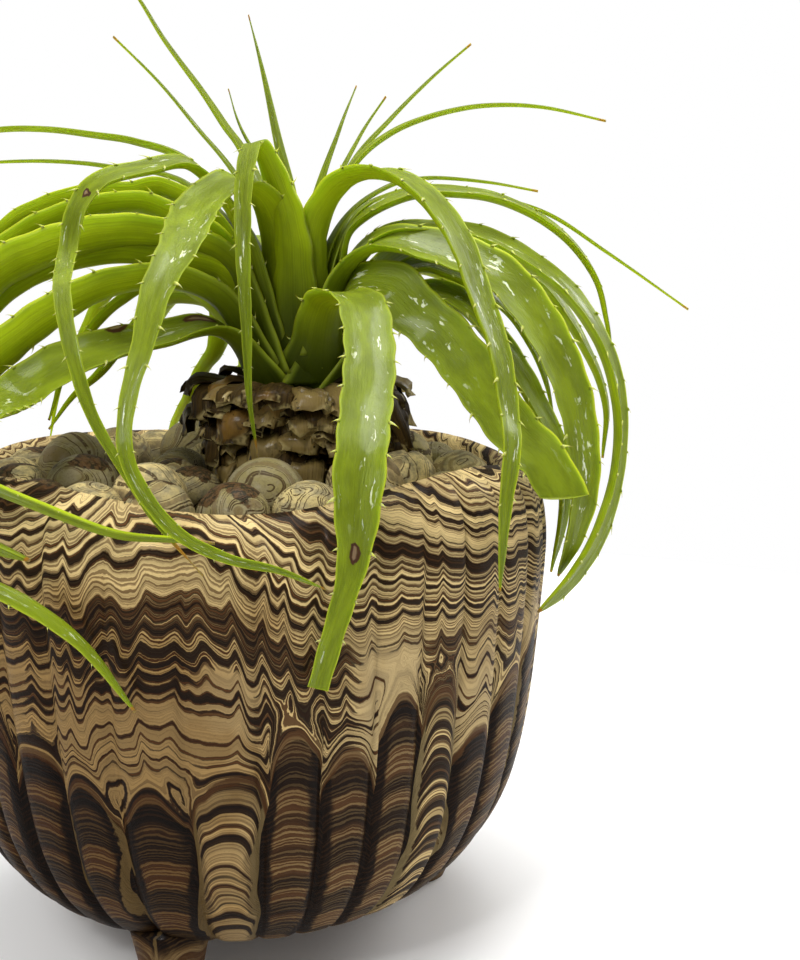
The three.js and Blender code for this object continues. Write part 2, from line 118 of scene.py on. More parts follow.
# Radius, height and flute depth, from the drain hole out, over the rim and back in
POT_SECTION = (
    (7, 14, 0), (48, 14.5, 0.8), (63, 21, 1.8), (74, 32, 2.4), (82, 47, 2.4),
    (86.5, 65, 2.0), (90, 98, 1.6), (91, 125, 1.4), (88.5, 136, 1.0),
    (81.5, RIM_HEIGHT, 0.3), (77, 137, 0), (73, 66, 0), (60, 38, 0), (7, 24, 0),
)

# Stones beside and behind the trunk's left: bearing and reach
LEFT_STONES = ((-25, 29), (-60, 24), (-95, 22), (-130, 26), (-160, 31))

# The bare trunk's outline: radius and height
TRUNK_SECTION = ((0, 78), (13, 78), (15, 88), (15, 148), (13, 158), (9, 166), (5, 174), (0, 178))

# Upper tiers of long dried leaf bases: height, how many, reach and width
DRY_TIERS = ((141, 6, 27, 15), (148, 7, 31, 14), (155, 7, 33, 14), (161, 7, 31, 13))

# Longer dead leaves that hang from the trunk: bearing, width and reach with height
DRY_LEAVES = (
    (52, 11, ((12, 160), (24, 167), (33, 160), (38, 147))),
    (-112, 8, ((12, 158), (28, 163), (39, 151))),
    (165, 9, ((12, 160), (28, 166), (38, 158), (42, 150))),
)

# Living leaves: bearing, width, form as leaf_width tapers it, turn about their own line in
# degrees, and points as reach, height and, where the leaf swings sideways, a bearing
LEAVES = {
    "leaf_front_1": (-20, 14, "whip", 0, ((2, 182), (12, 212), (26, 231, -28), (38, 222, -24), (46, 204, -21),
        (52, 181, -18), (54, 164, -17), (54, 149, -15))),
    "leaf_front_2": (18, 14, "cut", 0, ((6, 172), (22, 188), (48, 188, 16), (62, 178, 13), (76, 166, 9),
        (93, 149, 5), (94, 130, 4), (94, 112, 1), (93, 100, -1))),
    "leaf_front_3": (-44, 14, "tail", -5, ((4, 178), (12, 213, -50), (28, 221, -39), (39, 215, -42),
        (68, 201, -28), (81, 191, -27), (90, 180, -26), (98, 167, -26), (103, 157, -25), (104, 149, -23),
        (105, 139, -18), (103, 133, -12), (101, 130, -6), (99, 125, 0))),
    "leaf_front_4": (-60, 9, "strap", -30, ((4, 180), (18, 206), (35, 226), (49, 224), (62, 220), (68, 213),
        (71, 202), (96, 189, -37), (101, 177, -33), (102, 164, -30), (102, 150, -25), (101, 141, -22),
        (99, 128, -16))),
    "leaf_front_5": (54, 19, "broad", 42, ((4, 174), (12, 184), (20, 192, 50), (30, 192), (38, 185),
        (46, 179), (59, 165), (69, 153), (78, 145), (84, 136))),
    "leaf_front_6": (40, 12, "late", 0, ((2, 182), (8, 210), (17, 221), (26, 224), (37, 223), (50, 216),
        (61, 204), (68, 190), (74, 177), (80, 161, 38), (85, 153, 35), (86, 137, 33), (85, 116, 33))),
    "leaf_front_7": (66, 17, "full", 35, ((4, 182), (14, 196), (24, 205), (41, 203), (59, 196), (67, 188),
        (75, 176), (81, 162), (84, 148), (85, 134), (83, 122), (79, 110))),
    "leaf_front_8": (76, 14, "late", 25, ((6, 170), (24, 184), (39, 191), (48, 188), (57, 179), (65, 168),
        (70, 159), (76, 148), (79, 136), (79, 124), (76, 108))),
    "leaf_right_1": (84, 14, "full", 22, ((4, 178), (16, 198), (26, 208), (42, 209), (55, 207), (70, 199),
        (82, 189), (92, 173), (96, 159), (97, 147), (94, 132, 80), (89, 120, 73), (83, 110, 64),
        (79, 104, 52))),
    "leaf_right_2": (92, 9, "late", 20, ((3, 182), (12, 198), (15, 210), (32, 220), (50, 221), (65, 218),
        (81, 209), (92, 196), (96, 183), (98, 171))),
    "leaf_right_3": (98, 13, "late", 30, ((4, 174), (20, 192), (35, 204), (58, 203), (75, 196), (86, 184),
        (92, 175), (98, 164), (101, 153), (100, 138))),
    "leaf_right_4": (104, 5, "thread", 0, ((3, 184), (10, 200), (18, 215), (34, 222), (56, 222), (82, 217),
        (105, 205), (138, 186))),
    "leaf_right_5": (106, 7, "thread", 0, ((2, 186), (6, 206), (17, 229), (29, 239), (43, 245), (60, 249),
        (81, 250), (106, 247))),
    "leaf_right_6": (114, 4, "thread", 0, ((2, 186), (8, 200), (17, 215), (31, 224), (44, 227), (67, 227),
        (89, 225))),
    "leaf_right_7": (124, 5, "thread", 0, ((2, 186), (6, 206), (22, 232), (36, 245), (53, 259), (71, 272))),
    "leaf_right_8": (80, 12, "strap", 25, ((4, 174), (22, 190), (35, 199), (45, 197), (61, 187), (69, 176),
        (74, 164), (76, 155))),
    "leaf_back_1": (150, 5, "thread", 0, ((2, 186), (9, 214), (26, 242, 147), (40, 257, 149))),
    "leaf_back_2": (134, 5, "thread", 0, ((2, 186), (10, 212), (32, 240, 140), (46, 254, 139))),
    "leaf_back_3": (118, 12, "strap", 0, ((4, 176), (24, 196), (50, 198), (72, 183), (84, 158), (86, 130))),
    "leaf_back_4": (160, 13, "strap", 0, ((4, 174), (24, 196), (50, 200), (76, 182), (92, 150), (98, 116))),
    "leaf_back_5": (174, 13, "strap", 0, ((4, 178), (22, 202), (50, 206), (78, 190), (96, 160), (100, 130))),
    "leaf_back_6": (-170, 13, "strap", 0, ((4, 174), (24, 194), (52, 194), (80, 176), (101, 146),
        (104, 114))),
    "leaf_back_7": (-160, 6, "thread", 0, ((1, 188), (6, 216), (14, 240, -154), (24, 260, -156),
        (34, 277, -157))),
    "leaf_back_8": (-154, 13, "strap", 0, ((4, 178), (24, 204), (48, 206), (57, 174), (70, 165), (84, 154),
        (100, 141), (107, 125))),
    "leaf_back_9": (-146, 12, "strap", 0, ((4, 172), (26, 192), (56, 196), (84, 182), (104, 154),
        (110, 126))),
    "leaf_back_10": (-133, 12, "strap", 0, ((4, 172), (26, 195), (56, 202), (86, 190), (99, 175), (111, 161),
        (119, 139))),
    "leaf_back_11": (-128, 4, "thread", 0, ((2, 186), (10, 208), (25, 229), (37, 241), (52, 256), (71, 272))),
    "leaf_back_12": (-168, 4, "thread", 0, ((2, 188), (10, 212), (26, 242, -140), (34, 254, -144))),
    "leaf_left_1": (-118, 8, "thread", 0, ((2, 186), (8, 208), (18, 233), (24, 241), (32, 252), (44, 267),
        (52, 279), (62, 292))),
    "leaf_left_2": (-104, 7, "thread", 0, ((3, 184), (14, 206), (33, 230), (49, 236), (61, 238), (78, 240),
        (91, 240), (110, 237), (142, 222), (174, 198))),
    "leaf_left_3": (-112, 5, "thread", 0, ((3, 184), (14, 202), (34, 223), (43, 227), (56, 229), (70, 231),
        (85, 232), (100, 232), (117, 231))),
    "leaf_left_4": (-98, 13, "strap", 28, ((4, 180), (22, 208), (40, 221), (49, 220), (57, 220), (67, 219),
        (74, 217), (82, 214), (89, 209), (101, 197), (109, 180))),
    "leaf_left_5": (-90, 15, "strap", 25, ((4, 178), (22, 204), (37, 213), (45, 216), (53, 216), (68, 213),
        (81, 207), (95, 195), (104, 175), (106, 155))),
    "leaf_left_6": (-82, 17, "full", 38, ((4, 176), (22, 200), (38, 206), (48, 207), (58, 206), (74, 201),
        (85, 195), (101, 177, -80), (110, 157, -76), (124, 150, -45), (114, 136, -43), (110, 131, -37))),
    "leaf_left_7": (-88, 14, "strap", 32, ((4, 174), (22, 196), (38, 200), (52, 202), (70, 198), (84, 190),
        (96, 175), (103, 158), (100, 146))),
    "leaf_left_8": (-74, 14, "slim", 55, ((5, 172), (24, 188), (36, 194), (49, 194), (60, 191), (71, 185),
        (82, 177), (99, 163), (129, 152, -48), (126, 138, -52), (118, 129, -48), (109, 121, -39),
        (104, 111, -32), (100, 95, -26))),
    "leaf_left_9": (-68, 16, "tail", -38, ((6, 168), (22, 178), (29, 181), (44, 178), (56, 176), (71, 171),
        (84, 163), (115, 161, -42), (117, 153, -45), (113, 149, -43), (109, 144, -36), (105, 138, -26),
        (103, 137, -19), (101, 136, -14))),
    "leaf_left_10": (-106, 12, "strap", 0, ((6, 170), (28, 188), (43, 195), (56, 189), (66, 180), (75, 167),
        (81, 152))),
    "leaf_left_11": (-118, 12, "strap", 0, ((4, 170), (26, 186), (46, 189), (61, 176), (71, 166), (82, 158),
        (92, 147))),
}

# Leaves whose tip has dried, and how far up from the tip the brown reaches
BROWN_TIPS = {"leaf_left_9": 0.04, "leaf_front_4": 0.08, "leaf_front_1": 0.05, "leaf_back_9": 0.1}

# Leaves that hang in the shade, whose under face has the green of the upper one
SHADED = ("leaf_left_6", "leaf_left_8")

# Dead patches: the place along the leaf and across it, half its length and half its width
BROWN_SPOTS = {
    "leaf_front_4": ((0.42, 0.1, 1.5, 1.3),),
    "leaf_front_2": ((0.80, 0.05, 2.8, 1.5),),
    "leaf_left_9": ((0.14, -0.75, 5.0, 1.5), (0.25, -0.85, 4.0, 1.3)),
}


class PlantSizes(bpy.types.PropertyGroup):
    """Sizes that a grower or potter would change"""
    tooth_spacing: FloatProperty(
        name="Spine spacing", description="Distance between marginal spines", default=10.5 * MM,
        min=4 * MM, max=30 * MM, unit="LENGTH")
    leaf_rings: IntProperty(
        name="Leaf rings", description="Rings of faces along each leaf", default=130, min=40, max=400)
    layer_height: FloatProperty(
        name="Clay layer", description="Typical height of one layer of coloured clay",
        default=LAYER_HEIGHT * MM, min=0.4 * MM, max=6 * MM, unit="LENGTH")


class PlantColours(bpy.types.PropertyGroup):
    """Colours of the clay, the leaves and the dried bases"""
    pale_clay: FloatVectorProperty(
        name="Pale clay", description="Lightest layers", subtype="COLOR", default=(0.74, 0.56, 0.255))
    brown_clay: FloatVectorProperty(
        name="Brown clay", description="Thin brown layers", subtype="COLOR", default=(0.088, 0.040, 0.014))
    dark_clay: FloatVectorProperty(
        name="Dark clay", description="Darkest layers", subtype="COLOR", default=(0.007, 0.0035, 0.0017))
    upper_leaf: FloatVectorProperty(
        name="Upper face", description="Channelled upper face", subtype="COLOR",
        default=(0.165, 0.215, 0.008))
    under_leaf: FloatVectorProperty(
        name="Under face", description="Rounded under face", subtype="COLOR", default=(0.38, 0.48, 0.007))
    leaf_margin: FloatVectorProperty(
        name="Margin", description="Pale margin and spines", subtype="COLOR", default=(0.25, 0.31, 0.025))
    dry_leaf: FloatVectorProperty(
        name="Dried leaf", description="Old leaf bases", subtype="COLOR", default=(0.066, 0.038, 0.010))


def spread(seed):
    """A repeatable value from 0 to 1"""
    value = math.sin(seed * 12.9898 + 4.1) * 43758.5453
    return value - math.floor(value)


def smoothstep(low, high, value):
    """0 below low, 1 above high and smooth between"""
    t = min(1.0, max(0.0, (value - low) / (high - low)))
    return t * t * (3 - 2 * t)


def on_bearing(degrees, reach, height, centre_x=0.0):
    """A point by its bearing from the front, its reach from an upright axis and its height"""
    angle = math.radians(degrees)
    return Vector((centre_x + reach * math.sin(angle), -reach * math.cos(angle), height))


def toned(colour, share):
    """The same colour, darker or lighter"""
    return [channel * share for channel in colour]


def new_object(mesh, name, material):
    """Turns a finished bmesh into an object of one material"""
    data = bpy.data.meshes.new(name)
    mesh.to_mesh(data)
    mesh.free()
    data.materials.append(material)
    made = bpy.data.objects.new(name, data)
    bpy.context.scene.collection.objects.link(made)
    return made


def finish_piece(mesh, name, body, node_names, material):
    """Makes the piece that stands for its nodes, smooth all over"""
    piece = new_object(mesh, name, material)
    piece.data.polygons.foreach_set("use_smooth", [True] * len(piece.data.polygons))
    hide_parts(*node_names)
    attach(piece, body)
    return piece


def merge_into(mesh, other):
    """Adds one bmesh to another, with its attributes"""
    data = bpy.data.meshes.new("part")
    other.to_mesh(data)
    other.free()
    mesh.from_mesh(data)
    bpy.data.meshes.remove(data)


def add_marks(mesh, names):
    """Places on the vertices for the values that the colours follow"""
    return {name: mesh.verts.layers.float.new(name) for name in names}


class Field:
    """A number that varies over a surface, so that a pattern reads as a formula"""

    def __init__(self, finish, socket):
        self.finish = finish
        self.socket = socket

    def _math(self, operation, *values):
        return self.finish.make("ShaderNodeMath", {"operation": operation}, dict(enumerate(values)))

    def __add__(self, other):
        return self._math("ADD", self, other)

    __radd__ = __add__

    def __sub__(self, other):
        return self._math("SUBTRACT", self, other)

    def __rsub__(self, other):
        return self._math("SUBTRACT", other, self)

    def __mul__(self, other):
        return self._math("MULTIPLY", self, other)

    __rmul__ = __mul__

    def __pow__(self, other):
        return self._math("POWER", self, other)

    def __neg__(self):
        return self._math("MULTIPLY", self, -1.0)

    def __abs__(self):
        return self._math("ABSOLUTE", self)

    def sin(self):
        return self._math("SINE", self)

    def floor(self):
        return self._math("FLOOR", self)

    def fract(self):
        return self._math("FRACT", self)

    def smaller(self, other):
        return self._math("MINIMUM", self, other)

    def larger(self, other):
        return self._math("MAXIMUM", self, other)

    def step(self, low, high):
        """0 below low, 1 above high and smooth between, or the reverse where low is above high"""
        if low > high:
            return 1 - self.step(high, low)
        return self.finish.make("ShaderNodeMapRange", {"interpolation_type": "SMOOTHSTEP"}, {
            "Value": self, "From Min": low, "From Max": high})


class Finish:
    """One material and the patterns that drive it"""

    def __init__(self, name, **constants):
        self.material = bpy.data.materials.new(name)
        self.material.use_nodes = True
        self.tree = self.material.node_tree
        self.tree.nodes.clear()
        self.shader = self.tree.nodes.new("ShaderNodeBsdfPrincipled")
        output = self.tree.nodes.new("ShaderNodeOutputMaterial")
        self.tree.links.new(self.shader.outputs[0], output.inputs[0])
        for key, value in constants.items():
            self.shader.inputs[key.replace("_", " ")].default_value = value
        self.place = self.make("ShaderNodeTexCoord", out="Object")

    def make(self, kind, settings=None, values=None, out=0):
        """A node of any kind: its settings first, then the values or links of its sockets"""
        node = self.tree.nodes.new(kind)
        for key, value in (settings or {}).items():
            setattr(node, key, value)
        for key, value in (values or {}).items():
            socket = node.inputs[key]
            if isinstance(value, Field):
                self.tree.links.new(value.socket, socket)
            elif socket.type == "RGBA" and not isinstance(value, (int, float)):
                socket.default_value = (*value[:3], 1.0)
            else:
                socket.default_value = value
        return Field(self, node.outputs[out])

    def drive(self, name, value):
        """Feeds one of the shader's sockets"""
        self.tree.links.new(value.socket, self.shader.inputs[name])

    def axes(self, vector=None):
        """The three coordinates of a point as numbers"""
        vector = vector or self.place
        return tuple(self.make("ShaderNodeSeparateXYZ", None, {0: vector}, out) for out in (0, 1, 2))

    def point(self, x, y, z):
        """A place for a pattern, from three numbers"""
        return self.make("ShaderNodeCombineXYZ", None, {0: x, 1: y, 2: z})

    def attribute(self, name, out="Fac"):
        """A value kept on the vertices"""
        return self.make("ShaderNodeAttribute", {"attribute_name": name}, None, out)

    def cloud(self, scale, detail, rough, at=None):
        """Soft noise about 0.5, through space"""
        return self.make("ShaderNodeTexNoise", None, {
            "Vector": at or self.place, "Scale": scale, "Detail": detail, "Roughness": rough})

    def strata(self, along):
        """Noise that varies along one number alone, as layers do"""
        return self.make("ShaderNodeTexNoise", {"noise_dimensions": "1D"}, {
            "W": along, "Scale": 1.0, "Detail": 0.0, "Roughness": 0.5})

    def random(self, value):
        """A different number for each whole value"""
        return self.make("ShaderNodeTexWhiteNoise", {"noise_dimensions": "1D"}, {"W": value}, "Value")

    def mix(self, factor, first, second):
        """A colour that goes from the first to the second"""
        return self.make("ShaderNodeMix", {"data_type": "RGBA"}, {0: factor, 6: first, 7: second}, 2)

    def multiply_colour(self, factor, body, colour):
        """Darkens the body by multiplying it with a colour, for stains and for painted shade"""
        return self.make("ShaderNodeMix", {"data_type": "RGBA", "blend_type": "MULTIPLY"}, {
            0: factor, 6: body, 7: colour}, 2)

    def relief(self, height, distance):
        """Bumps of that depth in metres, on the shader's normal"""
        bump = self.make("ShaderNodeBump", None, {"Height": height, "Distance": distance, "Strength": 1.0})
        self.drive("Normal", bump)


def clay_colours(look, finish, level, plain):
    """Layered clay by its level in millimetres: pale and brown layers of every thickness,
    near-black lines where they meet and finer lines within. plain takes the brown away.
    Gives the colour, where the clay is brown, and its lines."""
    broad = finish.strata(level * 0.07 + 31.7)
    layer = finish.strata(level * 0.40)
    thin = finish.strata(level * 1.25 + 5.1)
    hair = finish.strata(level * 2.9 + 71.0)
    amount = layer + (broad - 0.5) * 0.40 - plain
    brown = amount.step(0.485, 0.53)
    edge = abs(amount - 0.505).step(0.024, 0.006)
    fine = thin.step(0.47, 0.41) * 0.8 * (1 - plain * 4).larger(0.15)
    wisp = hair.step(0.42, 0.37) * 0.5 * (1 - plain * 3).larger(0.2)
    deep = (amount - 0.55).step(0.02, 0.08)
    tone = finish.strata(level * 0.21 + 90.0).step(0.36, 0.64)
    body = finish.mix(tone, toned(look.pale_clay, 0.66), look.pale_clay)
    body = finish.mix(fine.larger(wisp), body, look.brown_clay)
    within = finish.mix(thin.step(0.42, 0.60), toned(look.brown_clay, 1.3), toned(look.brown_clay, 0.45))
    within = finish.mix(wisp * 0.7, within, toned(look.pale_clay, 0.45))
    within = finish.mix(deep * 0.85, within, look.dark_clay)
    body = finish.mix(brown, body, within)
    body = finish.mix(edge * 0.8, body, look.dark_clay)
    return body, brown, edge.larger(fine)


def marbled_clay(look, sizes):
    """The bowl: layers that sag in each flute, and dark arched fingers round its foot"""
    finish = Finish("marbled_clay", Coat_Weight=0.04, Coat_Roughness=0.15, Specular_IOR_Level=0.05)
    x, y, z = finish.axes()
    height = z * 1000
    turn = finish.make("ShaderNodeMath", {"operation": "ARCTAN2"}, {0: x, 1: -y})

    # Noise drawn out upwards, and the flute that a point lies in
    tall = finish.point(x, y, z * 0.25)
    coarse = finish.cloud(15, 1.0, 0.5, tall)
    medium = finish.cloud(60, 2.0, 0.5, tall)
    ragged = finish.cloud(330, 3.0, 0.6)
    grain = finish.cloud(1500, 3.0, 0.6)
    drift = (coarse - 0.5) * 58 + (medium - 0.5) * 8 + (ragged - 0.5) * 1.4
    flute = (turn - (turn * 5 + 1).sin() * FLUTE_DRIFT) * (FLUTES / (2 * math.pi)) + (medium - 0.5) * 0.8
    cell = flute.floor()
    side = abs(flute.fract() - 0.5) * 2
    luck = finish.random(cell)
    other = finish.random(cell + 51)

    # Layers that hang in half-flute folds, and slope as they go round the rim
    lip = height.step(116, 138)
    fold = flute * 2 + (medium - 0.5) * 0.9
    fold_side = abs(fold.fract() - 0.5) * 2
    hang = 1 - fold_side * fold_side * 0.35 - fold_side.step(0.25, 1.0) * 0.65
    sag = hang * (1.8 + finish.random(fold.floor() + 7) * 4.0) * (1 - lip * 0.6)
    slant = (1 - ((turn + 0.30) * 2 + math.pi / 2).sin()) * 27 * height.step(98, 147)
    upper = height + sag + drift + slant

    # Fingers up to an arched top, where the layers close round them, and bare pale places
    arch = 82 + (luck - 0.5) * 18 + (coarse - 0.5) * 28
    crown = height + side ** 2.6 * 11
    below = arch - crown + (ragged - 0.5) * 1.6
    near = below.step(-12, -3)
    level = upper * (1 - near) + (crown * 0.9 + luck * 40) * near
    quiet = turn.step(-0.70, -0.52) * turn.step(0.10, -0.04) * (height + (medium - 0.5) * 16).step(105, 98)
    bare = (finish.cloud(24, 1.0, 0.5, tall).step(0.54, 0.64) * height.step(114, 98)).larger(quiet)
    bare = bare * (1 - near * 0.4)
    # Painted shade: the clay is darker towards the bottom and most of all on the left, as a brown wash and as
    # more brown layers
    painted_shade = height.step(138, 104) * (1 - turn.step(-0.3, 0.4) * 0.75)
    plain = bare * 0.24 + height.step(100, 132) * 0.055 - painted_shade * 0.10
    layers = level * (LAYER_HEIGHT * MM / sizes.layer_height)
    body, brown, line = clay_colours(look, finish, layers, plain)
    body = finish.mix(bare * (1 - brown) * 0.5, body, (0.30, 0.235, 0.14))

    # Striped cores in the fingers, with dark walls and caps and bare clay between some
    bow = height + side * side * 4 + (ragged - 0.5) * 1.2 + luck * 60
    stripe = finish.strata(bow * 1.25).step(0.51, 0.57)
    shade = finish.strata(bow * 0.12 + 9).step(0.42, 0.60)
    pale_one = other.step(0.70, 0.74)
    core = finish.mix(shade, toned(look.brown_clay, 0.18), toned(look.brown_clay, 0.95))
    core = finish.mix(stripe * (0.25 + shade * 0.55), core,
                      [p * 0.26 + b * 0.74 for p, b in zip(look.pale_clay, look.brown_clay)])
    core = finish.mix(pale_one, core, body)
    foot = height.step(22, 15)
    finger = below.step(-0.5, 0.5) * (1 - foot)
    rough_side = side + (ragged - 0.5) * 0.30 + (medium - 0.5) * 0.5
    between = rough_side.step(0.76, 0.82) * other.step(0.45, 0.5)
    wall = rough_side.step(0.54, 0.72) * (1 - between)
    cap = below.step(9.0, 3.0) * other.step(0.1, 0.3)
    body = finish.mix(finger * (1 - between), body, core)
    body = finish.mix(finger * between, body, toned(look.pale_clay, 0.28))
    body = finish.mix(finger * wall.larger(cap * (1 - between)) * (1 - pale_one * 0.6), body,
                      finish.mix(stripe * 0.5, look.dark_clay, toned(look.brown_clay, 0.45)))
    body = finish.mix(below.step(-2.6, -2.0) * (1 - finger) * 0.85, body, look.brown_clay)

    # A grey-brown wash of random stains and of painted shade, weaker on the foot, and grit
    stain_and_shade = (finish.cloud(45, 3.0, 0.6).step(0.45, 0.75) * 0.4 + painted_shade) * (1 - foot * 0.8)
    body = finish.multiply_colour(stain_and_shade.smaller(1.0), body, (0.46, 0.375, 0.28))
    body = finish.mix(grain.step(0.58, 0.70) * 0.14, body, look.dark_clay)
    finish.drive("Base Color", body)
    finish.drive("Roughness", 0.42 + grain * 0.22)
    finish.relief(line * 0.4 + brown * 0.4 + grain * 0.35 + medium * 1.2 + finger * 0.8, 0.32 * MM)
    return finish.material


def pebble_clay(look, sizes):
    """Stones rolled from scraps of the same clay: a few looped lines, some with a dark cap"""
    finish = Finish("pebble_clay", Coat_Weight=0.05, Coat_Roughness=0.2, Specular_IOR_Level=0.06)
    seed = finish.attribute("stone_seed")
    x, y, z = finish.axes(finish.attribute("stone_place", "Vector"))
    spot = finish.point(x + seed * 17, y, z)
    coarse = finish.cloud(0.9, 1.0, 0.5, spot)
    ragged = finish.cloud(7, 3.0, 0.6, spot)
    height = x * (seed * 9).sin() + y * (seed * 23).sin() + z * 0.6
    height = height + (coarse - 0.5) * 4.4 + (ragged - 0.5) * 0.14
    eye = x - (seed * 61).sin() * 0.6
    rings = (eye * eye + (y + 0.6) * (y + 0.6) + (z - 0.4) * (z - 0.4) + (coarse - 0.5) * 0.9) ** 0.5
    level = height + (rings * 1.5 - height) * seed.step(0.40, 0.55)
    layer = finish.strata(level * (3.2 * LAYER_HEIGHT * MM / sizes.layer_height) + seed * 90)
    loops = abs(layer - 0.5).step(0.035, 0.014) * ragged.step(0.36, 0.46)
    band = layer.step(0.60, 0.66)
    tone = finish.mix((seed * 57).sin() * 0.5 + 0.5, (0.22, 0.185, 0.075), (0.76, 0.60, 0.27))
    body = finish.mix(finish.cloud(2.2, 3.0, 0.65, spot).step(0.36, 0.66), tone, (0.27, 0.23, 0.13))
    body = finish.mix(band * 0.45, body, look.brown_clay)
    body = finish.mix(loops * 0.85, body, toned(look.brown_clay, 0.5))
    rim = z + (coarse - 0.5) * 2.6 + (ragged - 0.5) * 0.3
    cap = rim.step(0.66, 0.74) * (seed * 83).sin().step(0.1, 0.4)
    body = finish.mix(cap * 0.9, body, finish.mix(ragged.step(0.4, 0.6), look.dark_clay, look.brown_clay))
    blotch = finish.cloud(14, 3.0, 0.7, spot)
    body = finish.mix(blotch.step(0.50, 0.72) * 0.40, body, (0.11, 0.08, 0.045))
    grain = finish.cloud(1500, 3.0, 0.6)
    finish.drive("Base Color", finish.mix(grain.step(0.55, 0.8) * 0.3, body, look.dark_clay))
    finish.drive("Roughness", 0.46 + grain * 0.3)
    finish.relief(grain * 0.6 + ragged * 0.9 - loops * 0.8, 0.22 * MM)
    return finish.material


def potting_mix():
    """Dark, moist grit with a few pale crumbs"""
    finish = Finish("potting_mix", Roughness=0.95)
    coarse = finish.cloud(420, 4.0, 0.65)
    crumb = finish.make("ShaderNodeTexVoronoi", {"feature": "F1"}, {
        "Vector": finish.place, "Scale": 480}, "Distance")
    body = finish.mix(coarse.step(0.35, 0.7), (0.012, 0.008, 0.005), (0.06, 0.04, 0.024))
    body = finish.mix(coarse.step(0.66, 0.72), body, (0.26, 0.2, 0.13))
    finish.drive("Base Color", body)
    finish.relief(crumb + coarse, 1.6 * MM)
    return finish.material


def dried_leaf(look):
    """Papery old leaf bases: fibres along them, painted shade near the trunk and on their undersides, cream
    edges with a painted highlight and amber patches
    """
    finish = Finish("dried_leaf", Coat_Roughness=0.2, Specular_IOR_Level=0.08)
    across, along, seed, reach = (finish.attribute(mark) for mark in SCALE_MARKS)
    fibre = finish.cloud(1.0, 3.0, 0.6, finish.point(across * 9, along * 50, seed * 30))
    blotch = finish.cloud(170, 3.0, 0.6)
    patch = finish.cloud(75, 2.0, 0.5)
    body = finish.mix(fibre.step(0.30, 0.70), toned(look.dry_leaf, 0.35), toned(look.dry_leaf, 1.10))
    pale = (seed * 37).sin().step(0.3, 0.95) * 0.6 + patch.step(0.57, 0.66) * 0.4
    body = finish.mix(pale.smaller(0.8) * reach.step(0.35, 0.7), body, (0.34, 0.24, 0.080))
    amber = (seed * 91).sin().step(0.55, 0.9) * patch.step(0.5, 0.42)
    body = finish.mix(amber * 0.8, body, (0.22, 0.115, 0.022))
    # Painted highlight: cream along the margins and the broken ends, where they catch the light
    edge = (across * across * 0.7 + reach ** 6).step(0.75, 1.1)
    body = finish.mix(edge * blotch.step(0.40, 0.55) * 0.65, body, (0.60, 0.48, 0.21))
    body = finish.mix(blotch.step(0.56, 0.66) * 0.6, body, toned(look.dry_leaf, 0.22))
    # Painted shade: near-black towards the trunk, where the bases crowd, and on their undersides
    body = finish.mix(reach.step(0.62, 0.20), body, (0.014, 0.009, 0.004))
    finish.drive("Base Color", body)
    finish.drive("Roughness", 0.32 + fibre * 0.4)
    finish.drive("Coat Weight", 0.04 + pale.smaller(0.8).larger(amber) * 0.5)
    finish.relief(fibre + blotch * 0.6, 0.5 * MM)
    return finish.material


